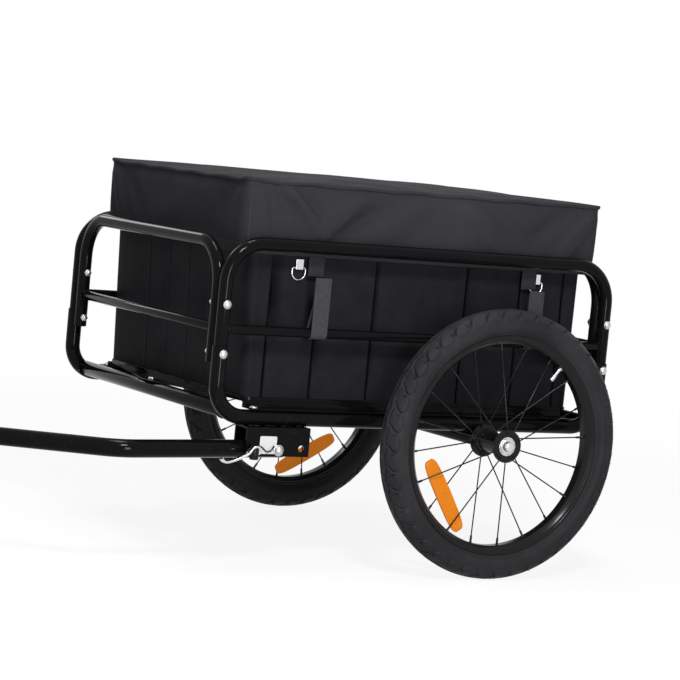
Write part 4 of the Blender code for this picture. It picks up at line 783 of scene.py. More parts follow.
for word in ("left_front", "left_rear", "right_front", "right_rear"):
    low, high = node_corners(f"{word}_lashing_ring")
    hinge = (low + high) / 2 * (1, 1, 0) + (high[2] - RING_WIRE) * Z_AXIS
    wire = carry(hinge + in_side_plane(0.0, ring_path()), X_AXIS, circle(RING_WIRE, 10))
    wire[-1] = wire[0]
    piece(f"{word}_ring_wire", [wire], BRIGHT_STEEL, f"{word}_ring", f"{word}_lashing_ring")
    softened_copy(f"{word}_folded_keeper", f"{word}_ring_keeper", BRIGHT_STEEL, "frame", KEEPER_EDGE)

# Cover
# A sewn cover of coated polyester cloth, pulled over the crate's rim: a top panel piped to four side panels,
# with upright seams at the corners, a turned hem, and four webbing tabs sewn inside the hem for the straps.
FABRIC = 0.0012
CROWN = 0.009
STITCH_LENGTH = 0.0034
CORNER_SEAM_ASIDE = 0.0032
EDGE_SEAM_BELOW = 0.0098
HEM_SEAM_BELOW = 0.0022
PIPING = 0.0029
HEM_BAND = 0.015
TAB_WIDTH = 0.026
TAB_THICKNESS = 0.0014
COVER_LOW, COVER_HIGH = node_corners("cover")
TAB_OUTER_X = COVER_HIGH[0]
COVER_HALF = AXLE[0] + 0.2215
COVER_FRONT = AXLE[1] - 0.4015
COVER_REAR = AXLE[1] + 0.1975
COVER_CORNER = 0.020
EDGE_LIFT = 0.006
TOP_RISE = 0.0055
CORNER_NUB = 0.0085
SKIRT_DEPTH = 0.098 + EDGE_LIFT
HEM_SEAM = SKIRT_DEPTH - HEM_BAND
EDGE_Z = COVER_HIGH[2] - CROWN + EDGE_LIFT
HEM_Z = EDGE_Z - SKIRT_DEPTH
TAB_FOOT_Z = COVER_LOW[2]
STRAP_YS = (AXLE[1] - 0.284, AXLE[1] + 0.082)
SLACK = 0.0042
FOLD_LIMIT = 0.0082
FOLD_LIMIT_AT_EDGE = 0.005
HEM_WAVE = 0.0011
HEM_WAVE_LENGTH = 0.118
HELD_SHARE = 0.55
CORNER_REACH = 0.012
NUB_FADE = 0.03
NUB_RISE = 0.0022
FOLD_EASE = 0.02
LIMIT_EASE = 0.06
TOP_RIPPLE = 0.0009
LIP_WAVE = 0.0008
LIP_WAVES = 23


def woven():
    """A plain weave on UV in metres: warp and weft are absolute sines, and a checker says which is on top.

    Height is 0 to 1, and Tone is a slow change of colour from thread to thread.
    """
    group, source, result = effect_group("woven", (("UV", None), ("Threads", 2200.0)), ("Height", "Tone"))
    apart = node(group, "SeparateXYZ", {"Vector": source["UV"]}).outputs
    turns = [maths(group, "MULTIPLY", apart[way], source["Threads"]) for way in "XY"]
    waves = [maths(group, "SINE", maths(group, "MULTIPLY", turn, math.pi)) for turn in turns]
    warp, weft = (maths(group, "ABSOLUTE", wave) for wave in waves)
    floors = [maths(group, "FLOOR", turn) for turn in turns]
    over = maths(group, "MODULO", maths(group, "ABSOLUTE", maths(group, "ADD", *floors)), 2.0)
    inputs = {"Factor": over, 2: warp, 3: weft}
    height = node(group, "Mix", inputs, data_type="FLOAT").outputs[0]
    thread = node(group, "CombineXYZ", {"X": floors[0], "Y": floors[1]}).outputs["Vector"]
    send(group, result, Height=height, Tone=noise(group, thread, 0.13, 2.0))
    return group


def zigzag(tree, turn):
    """0 at the middle of each unit of the turn, rising to a half at its ends."""
    return maths(tree, "ABSOLUTE", maths(tree, "SUBTRACT", maths(tree, "FRACT", turn), 0.5))


def stitched():
    """A row of lock stitches: Along and Across are metres from the row's start and from its line.

    Each stitch is a raised dash. Thread is its mask, and Height is that mask with the pucker of the seam.
    """
    inputs = (("Along", 0.0), ("Across", 0.0), ("Pitch", 0.0035))
    group, source, result = effect_group("stitched", inputs, ("Thread", "Height"))
    part = zigzag(group, maths(group, "DIVIDE", source["Along"], source["Pitch"]))
    dash = ramp(group, part, 0.3, 0.42, 1.0, 0.0)
    reach = maths(group, "ABSOLUTE", source["Across"])
    line = ramp(group, reach, 0.0003, 0.0007, 1.0, 0.0)
    pucker = ramp(group, reach, 0.0, 0.0024, 0.0, 0.55)
    thread = maths(group, "MULTIPLY", dash, line)
    height = maths(group, "ADD", pucker, maths(group, "MULTIPLY", thread, 0.5))
    send(group, result, Thread=thread, Height=height)
    return group


WEAVE = woven()
STITCH = stitched()


def coated_cloth():
    """Coated polyester: a fine weave under a soft sheen, thread stitches by the seams and pale chafe."""
    material, tree, shader = new_material("cover_fabric", Specular_IOR_Level=0.012)
    weave = effect(tree, WEAVE, UV=place_of(tree, "UV"), Threads=2100.0)
    place = place_of(tree)
    grain = effect(tree, GRAIN, Vector=place, Scale=600.0)
    marks = effect(tree, MARKS, Vector=place, Scale=30.0, Amount=0.6)
    seams = node(tree, "Attribute", attribute_name="seam_distance").outputs["Vector"]
    seam = node(tree, "SeparateXYZ", {"Vector": seams}).outputs
    stitch = effect(tree, STITCH, Along=seam["X"], Across=seam["Y"], Pitch=STITCH_LENGTH)
    tone = blend_colour(tree, weave["Tone"], (0.0195, 0.0192, 0.0228, 1), (0.0298, 0.0293, 0.034, 1))
    tone = blend_colour(tree, maths(tree, "MULTIPLY", marks["Dust"], 0.5), tone, (0.040, 0.040, 0.045, 1))
    colour = blend_colour(tree, maths(tree, "MULTIPLY", stitch["Thread"], 0.8), tone, (0.05, 0.05, 0.055, 1))
    rough = ramp(tree, grain["Broad"], 0.3, 0.7, 0.5, 0.62)
    relief = maths(tree, "ADD", maths(tree, "MULTIPLY", weave["Height"], 0.12), stitch["Height"])
    finish(tree, shader, colour, rough, relief, 0.0005)
    return material


COVER_FABRIC = coated_cloth()


def ridge(along, down, start, stop, width, height):
    """A soft fold from start to stop, each (along, down): the height, by a bell of the distance from it."""
    start, stop = np.array(start), np.array(stop)
    line = stop - start
    here = np.stack([along - start[0], down - start[1]], -1)
    share = np.clip((here @ line) / (line @ line), 0, 1)
    apart = np.linalg.norm(here - share[..., None] * line, axis=-1)
    taper = 1 - 0.6 * np.abs(2 * share - 1) ** 2
    return height * taper * np.exp(-((apart / width) ** 2))


# Folds of the four side panels: (start, stop, width, height), where a spot is (metres along the panel from
# its left end as seen from outside, metres below the edge)
NEAR_FOLDS = (
    ((0.012, 0.004), (0.030, 0.100), 0.009, 0.0050),
    ((0.036, 0.004), (0.062, 0.046), 0.007, -0.0048),
    ((0.050, 0.002), (0.125, 0.075), 0.009, 0.0078),
    ((0.070, 0.004), (0.122, 0.056), 0.008, -0.0056),
    ((0.110, 0.070), (0.190, 0.010), 0.014, 0.0080),
    ((0.140, 0.078), (0.230, 0.026), 0.016, -0.0060),
    ((0.210, 0.066), (0.290, 0.014), 0.020, 0.0060),
    ((0.350, 0.008), (0.440, 0.090), 0.016, 0.0080),
    ((0.392, 0.004), (0.480, 0.070), 0.014, -0.0056),
    ((0.585, 0.010), (0.520, 0.096), 0.012, 0.0080),
    ((0.545, 0.004), (0.475, 0.060), 0.013, -0.0050),
)
END_FOLDS = (
    ((0.010, 0.006), (0.060, 0.092), 0.011, 0.0050),
    ((0.040, 0.004), (0.120, 0.070), 0.014, -0.0032),
    ((0.425, 0.008), (0.385, 0.092), 0.011, 0.0030),
    ((0.150, 0.085), (0.290, 0.030), 0.026, 0.0034),
    ((0.300, 0.080), (0.390, 0.020), 0.018, -0.0024),
)
FAR_FOLDS = tuple(((0.6 - a, b), (0.6 - c, d), width, height) for (a, b), (c, d), width, height in NEAR_FOLDS)
PANEL_FOLDS = (NEAR_FOLDS, END_FOLDS, FAR_FOLDS, END_FOLDS)


def fold_depth(u, down):
    """The depth of all the folds at length u round the cover and a distance down from its edge."""
    u, down = np.broadcast_arrays(u, down)
    depth = np.zeros(u.shape)
    for start, run, folds in zip(PANEL_STARTS, PANEL_RUNS, PANEL_FOLDS):
        along = u - start
        inside = (along >= 0) & (along <= run)
        depth = depth + np.where(inside, sum(ridge(along, down, *fold) for fold in folds), 0)
    return depth


spots, ways, around = box_outline(
    COVER_HALF, COVER_FRONT, COVER_REAR, COVER_CORNER, np.linspace(0, 1, 150), np.linspace(0, 1, 110), 10
)
corner_run = COVER_CORNER * math.pi / 2
side_length = COVER_REAR - COVER_FRONT - 2 * COVER_CORNER
PANEL_RUNS = 2 * (side_length + corner_run, 2 * (COVER_HALF - COVER_CORNER) + corner_run)
PANEL_STARTS = corner_run / 2 + np.cumsum([0, *PANEL_RUNS[:3]])


def corner_nubs():
    """How far the top is drawn out, round the outline: a bell about the middle of each corner."""
    apart = np.abs(around[:, None] - PANEL_STARTS)
    apart = np.minimum(apart, around[-1] - apart)
    return np.exp(-((apart / CORNER_REACH) ** 2)).sum(1)


NUBS = corner_nubs()


def skirt_rows(downs, offset):
    """Rows of a side panel at these distances down from the edge, with its slack, folds and hem wave.

    The sum of the three is eased in below the edge and limited, so that the cloth stays near the crate's rim.
    """
    u = around[None, :]
    wrapped = np.where(u < PANEL_STARTS[0], u + around[-1], u)
    down = np.asarray(downs)[:, None]
    share = np.clip(down / SKIRT_DEPTH, 0, 1)
    ease = np.clip(down / FOLD_EASE, 0, 1)
    seam = np.min([np.abs(wrapped - start) for start in PANEL_STARTS], axis=0)
    depth = fold_depth(wrapped, down) * np.clip(seam / CORNER_REACH, 0, 1)
    wave = HEM_WAVE * (1 + np.sin(wrapped * 2 * math.pi / HEM_WAVE_LENGTH + 0.8)) * share**1.5
    held = np.clip(np.abs(ways[None, :, 0]), 0, 1) * HELD_SHARE
    nub = CORNER_NUB * NUBS * (0.3 + 0.7 * np.exp(-down / NUB_FADE))
    slack = SLACK * np.sin(math.pi * share) ** 0.6
    most = FOLD_LIMIT + FOLD_LIMIT_AT_EDGE * (1 - np.clip(down / LIMIT_EASE, 0, 1))
    out = offset + nub + ease * np.clip(slack + depth + wave * (1 - held), -0.0004, most)
    points = spots[None] + ways[None] * out[..., None]
    return np.concatenate([points, np.broadcast_to(EDGE_Z - down[..., None], (*points.shape[:2], 1))], -1)


def top_rows(shares, sink):
    """Rows of the top panel, at shares of the way from middle to edge: crowned, with a slack ripple."""
    centre = np.array([0, (COVER_FRONT + COVER_REAR) / 2])
    share = np.asarray(shares)[:, None]
    rim = spots + ways * (CORNER_NUB * NUBS)[:, None]
    points = centre + (rim - centre)[None] * share[..., None]
    x, y = points[..., 0], points[..., 1]
    crown = TOP_RISE * (1 - share**6)
    ripple = np.sin(x * 21 + y * 9) * np.sin(y * 17 - x * 6 + 1.0) + 0.6 * np.sin(x * 47 - y * 39)
    slack = TOP_RIPPLE * ripple * share * (1 - share**8)
    lip_wave = LIP_WAVE * np.sin(around / around[-1] * 2 * math.pi * LIP_WAVES)[None] * share**6
    lip_wave = lip_wave + NUB_RISE * NUBS[None] * share**10
    z = EDGE_Z + crown + slack + lip_wave - sink
    return np.concatenate([points, z[..., None]], -1)


def cover_grid():
    """The skin: top from its middle, piped edge, side panels, turned hem, and the inside back again."""
    shares = np.concatenate([np.linspace(0, 0.9, 26), np.linspace(0.92, 0.994, 10)])
    top = top_rows(shares, 0.0)
    edge = top_rows([1.0], 0.0)[0]
    angle = np.radians(np.linspace(70, -80, 8))[:, None, None]
    out3 = np.column_stack([ways, np.zeros(len(ways))])[None]
    core = (edge - np.column_stack([ways * 0.0004, np.full(len(ways), PIPING * 0.9)]))[None]
    piping = core + PIPING * (out3 * np.cos(angle) + Z_AXIS * np.sin(angle))
    upper = skirt_rows([*np.linspace(0.0055, HEM_SEAM - 0.001, 34), HEM_SEAM], 0.0)
    hem = skirt_rows(np.linspace(HEM_SEAM + 0.0008, SKIRT_DEPTH - 0.0008, 9), 0.0005)
    lip = skirt_rows([SKIRT_DEPTH], -0.0004)
    inside = skirt_rows(np.linspace(SKIRT_DEPTH - 0.0006, 0.012, 14), -FABRIC)
    under = top_rows([0.994, 0.9, 0.6, 0.3, 0.0], FABRIC)
    return np.concatenate([top, piping, upper, hem, lip, inside, under])


def cover_uv(grid):
    """UV in metres: the top is mapped by x and y, and the panels by length round the cover and height."""
    wall = np.stack([np.broadcast_to(around, grid.shape[:2]), grid[..., 2]], -1)
    return np.where(grid[..., 2:] > EDGE_Z - 0.0015, grid[..., :2], wall)


def seam_distances(mesh):
    """For the stitches: metres along and across the nearest row of stitches, stored on the mesh's points.

    The rows are the edge seam, 4 mm below the piping, the hem's seam, and one on each side of a corner seam.
    """
    x, y, z = mesh_points(mesh).T
    below = EDGE_Z - z
    corner_x = COVER_HALF - COVER_CORNER
    in_front = y < (COVER_FRONT + COVER_REAR) / 2
    corner_y = np.where(in_front, COVER_FRONT + COVER_CORNER, COVER_REAR - COVER_CORNER)
    towards = np.degrees(np.arctan2(y - corner_y, np.abs(x) - corner_x))
    slant = np.abs(np.abs(towards) - 45) * math.pi / 180 * COVER_CORNER
    in_corner = (np.abs(x) > corner_x) & (np.abs(y - corner_y) < COVER_CORNER)
    corner_seam = np.where(in_corner, np.abs(slant - CORNER_SEAM_ASIDE), 0.02)
    level = np.minimum(np.abs(below - EDGE_SEAM_BELOW), np.abs(below - HEM_SEAM - HEM_SEAM_BELOW))
    by_corner = corner_seam < level
    along_level = np.where(np.abs(x) > COVER_HALF - 0.004, y, x)
    along = np.where(by_corner, z, along_level) + 10.0
    values = np.stack([along, np.where(by_corner, corner_seam, level), np.zeros(len(x))], -1)
    mesh.attributes.new("seam_distance", "FLOAT_VECTOR", "POINT").data.foreach_set("vector", values.ravel())


def slab_section(width, thickness, soft):
    """The closed section of a flat strip, with round edges, as (across, beside) points."""
    half, thin = width / 2, thickness / 2
    corners = [(0, -thin), (half, -thin), (half, thin), (-half, thin), (-half, -thin), (0, -thin)]
    return bent(corners, soft, 4)


def strip(path, across, width, thickness, soft=None):
    """A flat strip of webbing or metal along the path, closed at both ends."""
    section = slab_section(width, thickness, soft or thickness * 0.45)
    grid = carry(path, across, section)
    start = np.broadcast_to(grid[0].mean(0), grid[0].shape)
    stop = np.broadcast_to(grid[-1].mean(0), grid[-1].shape)
    return np.concatenate([start[None], grid, stop[None]])


def tab_path(side, y):
    """A tab's middle line, from inside the hem to its foot, standing off the crate."""
    seam_x = COVER_HALF - FABRIC * 0.4
    out_x = TAB_OUTER_X - TAB_THICKNESS / 2
    corners = [(seam_x, HEM_Z + 0.022), (seam_x, HEM_Z + 0.007), (out_x, HEM_Z - 0.001), (out_x, TAB_FOOT_Z)]
    return bent([(side * x, y, z) for x, z in corners], 0.004, 6)


grid = cover_grid()
tabs = [strip(tab_path(side, y), Y_AXIS, TAB_WIDTH, TAB_THICKNESS) for side, _ in SIDES for y in STRAP_YS]
cover = piece("sewn_cover", [(grid, cover_uv(grid)), *tabs], COVER_FABRIC, "cover", "cover", sharp=60)
seam_distances(cover.data)

# Straps
# Four loops of hook-and-loop webbing, each doubled on itself and closed round a side bar, under a tab of the
# cover. The webbing is ribbed polyester, greyer than the cover.
STRAP_WIDTH = 0.026
STRAP_SHEET = 0.0013
STRAP_THICK = 0.96 * STRAP_SHEET
STRAP_GAP = 0.0001
BAR_GAP = 0.0004
STRAP_APEX = 0.0427
STRAP_X, _, STRAP_TOP_Z = node_corners("left_front_strap_loop")[1]


def ribbed_webbing():
    """Webbing: a coarse weave on its UV, with pale fuzz."""
    material, tree, shader = new_material("strap_webbing", Specular_IOR_Level=0.06)
    weave = effect(tree, WEAVE, UV=place_of(tree, "UV"), Threads=1150.0)
    grain = effect(tree, GRAIN, Vector=place_of(tree), Scale=1500.0)
    tone = blend_colour(tree, weave["Tone"], (0.032, 0.0325, 0.035, 1), (0.058, 0.059, 0.062, 1))
    colour = blend_colour(tree, maths(tree, "MULTIPLY", grain["Speck"], 0.5), tone, (0.1, 0.1, 0.105, 1))
    rough = ramp(tree, grain["Broad"], 0.3, 0.7, 0.75, 0.9)
    relief = maths(tree, "ADD", weave["Height"], maths(tree, "MULTIPLY", grain["Fine"], 0.4))
    finish(tree, shader, colour, rough, relief, 0.00025)
    return material


STRAP_WEBBING = ribbed_webbing()


def strap_path(side, y):
    """The strap's middle line: down the outside, round the bar by tangents, and up behind itself."""
    outer = STRAP_X - STRAP_SHEET / 2
    inner = outer - STRAP_SHEET - STRAP_GAP
    wrap = BAR_RADIUS + BAR_GAP + STRAP_SHEET / 2
    apex_z = MID_BAR_Z + STRAP_APEX
    centre = np.array([RAIL_X, MID_BAR_Z])
    towards = np.array([outer, apex_z]) - centre
    spread = math.acos(wrap / np.linalg.norm(towards))
    heading = math.atan2(towards[1], towards[0])
    angle = np.linspace(heading - spread, heading + spread - 2 * math.pi, 40)
    around_bar = centre + wrap * np.stack([np.cos(angle), np.sin(angle)], -1)
    down = np.linspace((outer, STRAP_TOP_Z), (outer, apex_z), 12)
    up = np.linspace((inner, apex_z - 0.001), (inner, STRAP_TOP_Z - 0.004), 12)
    x, z = np.concatenate([down, around_bar, up]).T
    return np.column_stack([side * x, np.full(len(x), y), z])


for side, word in SIDES:
    for y, end in zip(STRAP_YS, ("front", "rear")):
        loop = strip(strap_path(side, y), Y_AXIS, STRAP_WIDTH, STRAP_THICK)
        name = f"{word}_{end}_webbing_loop"
        piece(name, [loop], STRAP_WEBBING, "frame", f"{word}_{end}_strap_loop", sharp=50)

# Tyres
# Black rubber tyres of 16-inch wheels: a rounded casing with a low tread of wavy ribs and curved shoulder
# grooves. They come from the mould with fine vent hairs on the shoulder, and carry a little dust.
TYRE_RADIUS = 0.198
TYRE_HALF = 0.0225
TREAD_DEPTH = 0.0026
TREAD_PITCHES = 42
RIB_MIDDLE = 0.0052
RIB_WAVE = 0.0013
RIB_GROOVE = 0.0012
SHOULDER_START = 0.0085
SHOULDER_RUN = 0.0155
SHOULDER_GROOVE = 0.0017
SHOULDER_SWEEP = 2.6
FINE_START = 0.0130
FINE_GROOVE = 0.0011
FINE_DEPTH = 0.8
FINE_SWEEP = 1.9
TREAD_EDGE = 0.0258
NOTCH_DEPTH = 0.0050
NOTCH_WIDTH = 0.0052
SIDEWALL_LINES = ((0.1668, 0.0004), (0.1722, 0.0003))
SIDEWALL_LINE_WIDTH = 0.0006
RIM_EDGE_RADIUS = 0.161
TYRE_STEPS = 1040
CASING_WALL = 0.003
LINING_CROWN = 0.192
LINING_SHARE = 0.86
HAIRS = 240
HAIR_SEED = 16
HAIR_LENGTH = 0.0042
HAIR_HALF = 0.0005
HAIR_ASIDE = 0.0125
HAIR_ASIDE_SPREAD = 0.0075
HAIR_FOOT = 0.1924
HAIR_FOOT_SPREAD = 0.0090
WHEEL_X = node_middle("left_tyre")[0]
WHEELS = ((1, "left", AXLE + WHEEL_X * X_AXIS), (-1, "right", AXLE - WHEEL_X * X_AXIS))


# Rubber: a matt, faintly mottled black with dust on it, and a fine moulded grain.
TYRE_RUBBER = worn_material(
    "tyre_rubber",
    1400.0,
    ((0.010, 0.0098, 0.0115, 1), (0.017, 0.0168, 0.019, 1)),
    ("Broad", 0.3, 0.7, 0.46, 0.6),
    0.00008,
    marks=(55.0, 0.7),
    wear=("Dust", 0.5, (0.036, 0.0355, 0.037, 1)),
    Specular_IOR_Level=0.08,
)


def smooth_curve(points, count):
    """Catmull-Rom curve through the points, evenly spaced in its parameter.

    Between b and c, with a before and d after: half of 2b + (c - a) t + (2a - 5b + 4c - d) t^2
    + (3b - a - 3c + d) t^3.
    """
    points = np.asarray(points, float)
    points = np.concatenate([[2 * points[0] - points[1]], points, [2 * points[-1] - points[-2]]])
    spot = np.linspace(0, len(points) - 3 - 1e-9, count)
    first = spot.astype(int)
    t = (spot - first)[:, None]
    a, b, c, d = (points[first + k] for k in range(4))
    return (2 * b + (c - a) * t + (2 * a - 5 * b + 4 * c - d) * t**2 + (3 * b - a - 3 * c + d) * t**3) / 2


def step_down(value, low, high):
    """1 below low, 0 above high, and a smooth step between."""
    share = np.clip((value - low) / (high - low), 0, 1)
    return 1 - share * share * (3 - 2 * share)


def groove(distance, half_width):
    """The share of full depth at a distance from a groove's middle, with sloped sides."""
    return step_down(np.abs(distance), half_width * 0.6, half_width * 1.3)


def tread_height(across, angle):
    """The tread's height over the casing, for metres across from the crown and the angle round the wheel.

    Two grooves wave round the crown. On each shoulder a curved groove and a finer one meet at the tread's
    outer edge as a Y, and the edge is notched there, so the shoulder is a row of rounded blocks.
    """
    turn = angle * TREAD_PITCHES
    reach = np.abs(across)
    phase = np.where(across > 0, 0.0, math.pi)
    rib = RIB_MIDDLE + RIB_WAVE * np.sin(turn + phase)
    cut = groove(reach - rib, RIB_GROOVE)
    sweep = np.clip((reach - SHOULDER_START) / SHOULDER_RUN, 0, 1)
    pitch = TYRE_RADIUS / TREAD_PITCHES
    main = turn + phase + SHOULDER_SWEEP * (1 - sweep) ** 2
    fine = turn + phase - FINE_SWEEP * (1 - sweep) ** 1.4
    apart, beside, notch = ((np.mod(a, 2 * math.pi) - math.pi) * pitch for a in (main, fine, turn + phase))
    outer = step_down(-reach, -SHOULDER_START - 0.0015, -SHOULDER_START)
    shoulder = groove(apart, SHOULDER_GROOVE) * outer
    sipe = FINE_DEPTH * groove(beside, FINE_GROOVE) * step_down(-reach, -FINE_START - 0.002, -FINE_START)
    edge = TREAD_EDGE - NOTCH_DEPTH * np.exp(-((notch / NOTCH_WIDTH) ** 2))
    on_tread = step_down(reach, edge - 0.0024, edge + 0.0006)
    return TREAD_DEPTH * on_tread * (1 - np.maximum(np.maximum(cut, shoulder), sipe))


def tyre_section(count):
    """Half of the casing's outer section as (x, radius), from the crown to the bead in the rim."""
    crown = TYRE_RADIUS - TREAD_DEPTH
    half = TYRE_HALF - 0.0003
    points = [(0, crown), (0.0062, crown - 0.0007), (0.0122, crown - 0.0034), (0.0176, crown - 0.0084)]
    points += [(0.0212, crown - 0.0148), (half, crown - 0.0212), (0.0208, 0.1695), (0.0166, 0.1645)]
    points += [(0.0126, 0.1622), (0.0114, 0.1608), (0.0113, 0.1562)]
    return smooth_curve(points, count)


def tyre_grids(centre):
    """The outer skin with its tread and sidewall lines, and the plain inside of the casing."""
    half = tyre_section(40)
    section = np.concatenate([half[::-1] * (-1, 1), half[1:]])
    lengths = np.concatenate([[0], np.cumsum(np.linalg.norm(np.diff(section, axis=0), axis=1))])
    across = lengths - lengths[-1] / 2
    direction = unit(np.gradient(section, axis=0))
    out = np.stack([-direction[:, 1], direction[:, 0]], -1)
    angle = np.linspace(0, 2 * math.pi, TYRE_STEPS + 1)
    height = tread_height(across[None], angle[:, None])
    for line_radius, rise in SIDEWALL_LINES:
        height = height + rise * np.exp(-(((section[:, 1] - line_radius) / SIDEWALL_LINE_WIDTH) ** 2))
    around_wheel = np.stack([np.zeros_like(angle), np.cos(angle), np.sin(angle)], -1)[:, None]
    skin = section + out * height[..., None]
    outer = centre + skin[..., :1] * X_AXIS + skin[..., 1:] * around_wheel
    deep = np.minimum(section[::-4, 1] - CASING_WALL, LINING_CROWN)
    lining = np.stack([section[::-4, 0] * LINING_SHARE, deep], -1)
    lining[[0, -1]] = section[[-1, 0]]
    inner = centre + lining[:, :1] * X_AXIS + lining[:, 1:] * around_wheel[::8]
    return outer, inner


def hair(base, out):
    """A vent hair: a thin square spike from base along out."""
    side = unit(np.cross(out, X_AXIS + 0.3 * Y_AXIS))
    other = np.cross(out, side)
    ring = np.stack([side, other, -side, -other, side]) * HAIR_HALF
    tip = base + out * HAIR_LENGTH
    return np.stack([base + ring, tip + ring * 0.6, tip[None].repeat(5, 0)])


rng = np.random.default_rng(HAIR_SEED)
for side, word, centre in WHEELS:
    hairs = []
    for turn, place, lean in rng.random((HAIRS, 3)):
        angle = 2 * math.pi * turn
        x = (HAIR_ASIDE + HAIR_ASIDE_SPREAD * place) * (1 if lean > 0.5 else -1)
        radial = np.array([0, math.cos(angle), math.sin(angle)])
        out = radial * (0.75 + 0.2 * lean) + X_AXIS * np.sign(x) * 0.5
        out = unit(out + np.cross(radial, X_AXIS) * (place - 0.5))
        spot = centre + x * X_AXIS + (HAIR_FOOT - HAIR_FOOT_SPREAD * place) * radial
        hairs.append(hair(spot, out))
    body = f"{word}_wheel"
    piece(f"{word}_rubber_tyre", tyre_grids(centre), TYRE_RUBBER, body, f"{word}_tyre")
    piece(f"{word}_tyre_hairs", hairs, TYRE_RUBBER, body)

# Rims
# Aluminium rims, rolled to a box section and coated in gloss black.
# Their edges are rolled to a small bead, which catches the light in a thin line.
RIM_HALF = 0.0135
RIM_WALL = 0.0018
RIM_BASE = 0.1555
RIM_INNER = 0.148
RIM_INNER_HALF = 0.007
RIM_SIDE_DEPTH = 0.007
RIM_ROLL = 0.0012
RIM_ROLL_DEPTH = 0.0031
RIM_ROLL_FOOT = 0.0040
RIM_TONES = ((0.004, 0.004, 0.0045, 1), (0.009, 0.009, 0.01, 1))
RIM_BLACK = gloss_paint("rim_black", RIM_TONES, 0.16, 0.24, 0.00001, 0.13)


def mirrored(points):
    """The points (x, radius) on the other side of the wheel's middle, in the opposite order."""
    return [(-x, radius) for x, radius in reversed(points)]


def rim_profile():
    """The rim's closed section as (x, radius): hooked edges about the well, drawn in to the spoke bed."""
    well, roll, edge = RIM_HALF - RIM_WALL, RIM_HALF + RIM_ROLL, RIM_EDGE_RADIUS
    start = (roll, edge - 0.0016)
    hook = [(roll, edge), (well + 0.0002, edge), (well, RIM_BASE)]
    flank = [(RIM_INNER_HALF, RIM_INNER), (RIM_HALF, edge - RIM_SIDE_DEPTH), (RIM_HALF, edge - RIM_ROLL_FOOT)]
    flank += [(roll, edge - RIM_ROLL_DEPTH)]
    return [start, *hook, *mirrored(hook), *mirrored(flank), *flank, start]


for side, word, centre in WHEELS:
    rim = revolved(rim_profile(), centre, X_AXIS, 180, soft=0.0013)
    piece(f"{word}_box_rim", [rim], RIM_BLACK, f"{word}_wheel", f"{word}_rim")

# Hubs and spokes
# A black flanged hub turns on two ball bearings. Twenty spokes go straight out to the rim, hooked into the
# outer and the inner flange by turns and tightened by plated nipples. A valve stem comes through the rim.
SPOKES = 20
SPOKE_RADIUS = 0.001
SPOKE_PHASE = math.radians(5.3)
SPOKE_CIRCLE = 0.0205
SPOKE_HOOK = 0.0023
SPOKE_LIFT = 0.0002
IN_RIM = 0.001
HUB_OUTER = 0.0218
HUB_INNER = -0.045
FLANGE_RADIUS = 0.024
FLANGE_WIDTH = 0.0033
INNER_FLANGE_SET = 0.0043
BEARING_SEAT = 0.0143
HUB_COLLAR = 0.0175
HUB_BARREL = 0.015
BEARING_DEPTH = 0.0083
HUB_BORE = 0.0083
NIPPLE_LENGTH = 0.011
NIPPLE_RADIUS = 0.0021
NIPPLE_THIN = 0.0017
VALVE_ANGLE = math.radians(50.5)
VALVE_ASIDE = 0.001
SPOKE_WIRE = bare_metal("spoke_wire", ((0.010, 0.010, 0.011, 1), (0.030, 0.030, 0.032, 1)), 0.2, 0.32, 900.0)


def hub_profile():
    """The hub's closed section as (x outwards, radius), with seats for both bearings and a bore between."""
    outer, inner, deep = HUB_OUTER - FLANGE_WIDTH, HUB_INNER + INNER_FLANGE_SET, BEARING_DEPTH
    start = (HUB_OUTER - deep / 2, BEARING_SEAT)
    profile = [start, (HUB_OUTER, BEARING_SEAT), (HUB_OUTER, FLANGE_RADIUS), (outer, FLANGE_RADIUS)]
    profile += [(outer, HUB_COLLAR), (HUB_OUTER - 0.01, HUB_BARREL), (HUB_INNER + 0.015, HUB_BARREL)]
    profile += [(inner + FLANGE_WIDTH, HUB_COLLAR), (inner + FLANGE_WIDTH, FLANGE_RADIUS)]
    profile += [(inner, FLANGE_RADIUS), (inner, HUB_COLLAR), (HUB_INNER, HUB_COLLAR)]
    profile += [(HUB_INNER, BEARING_SEAT)]
    profile += [(HUB_INNER + deep, BEARING_SEAT), (HUB_INNER + deep, HUB_BORE), (HUB_OUTER - deep, HUB_BORE)]
    return [*profile, (HUB_OUTER - deep, BEARING_SEAT), start]


def wheel_point(centre, side, x, radius, angle):
    """A point of a wheel: x outwards from its middle, and the angle from the rear upwards on the left wheel.

    The right wheel is the left one turned half round the upright line.
    """
    return centre + np.array([side * x, side * radius * math.cos(angle), radius * math.sin(angle)])


# Profiles of the small turned parts: (distance along the part, radius)
SPOKE_HEAD = [(0, 0), (0, SPOKE_RADIUS), (SPOKE_HOOK, SPOKE_RADIUS), (0.0026, 0.0018), (0.0034, 0.0016)]
SPOKE_HEAD += [(0.0036, 0)]
NIPPLE = [(0, 0), (0, NIPPLE_RADIUS), (-0.0015, NIPPLE_RADIUS), (-0.003, NIPPLE_THIN)]
NIPPLE += [(-NIPPLE_LENGTH, NIPPLE_THIN), (-NIPPLE_LENGTH - 0.0004, 0)]
VALVE = [(0, 0), (0, 0.0042), (0.002, 0.0042), (0.0035, 0.0026), (0.014, 0.0026), (0.0142, 0.0036)]
VALVE += [(0.0235, 0.0034), (0.0245, 0.0024), (0.0245, 0)]
FLANGES = (HUB_OUTER - FLANGE_WIDTH / 2, HUB_INNER + INNER_FLANGE_SET + FLANGE_WIDTH / 2)

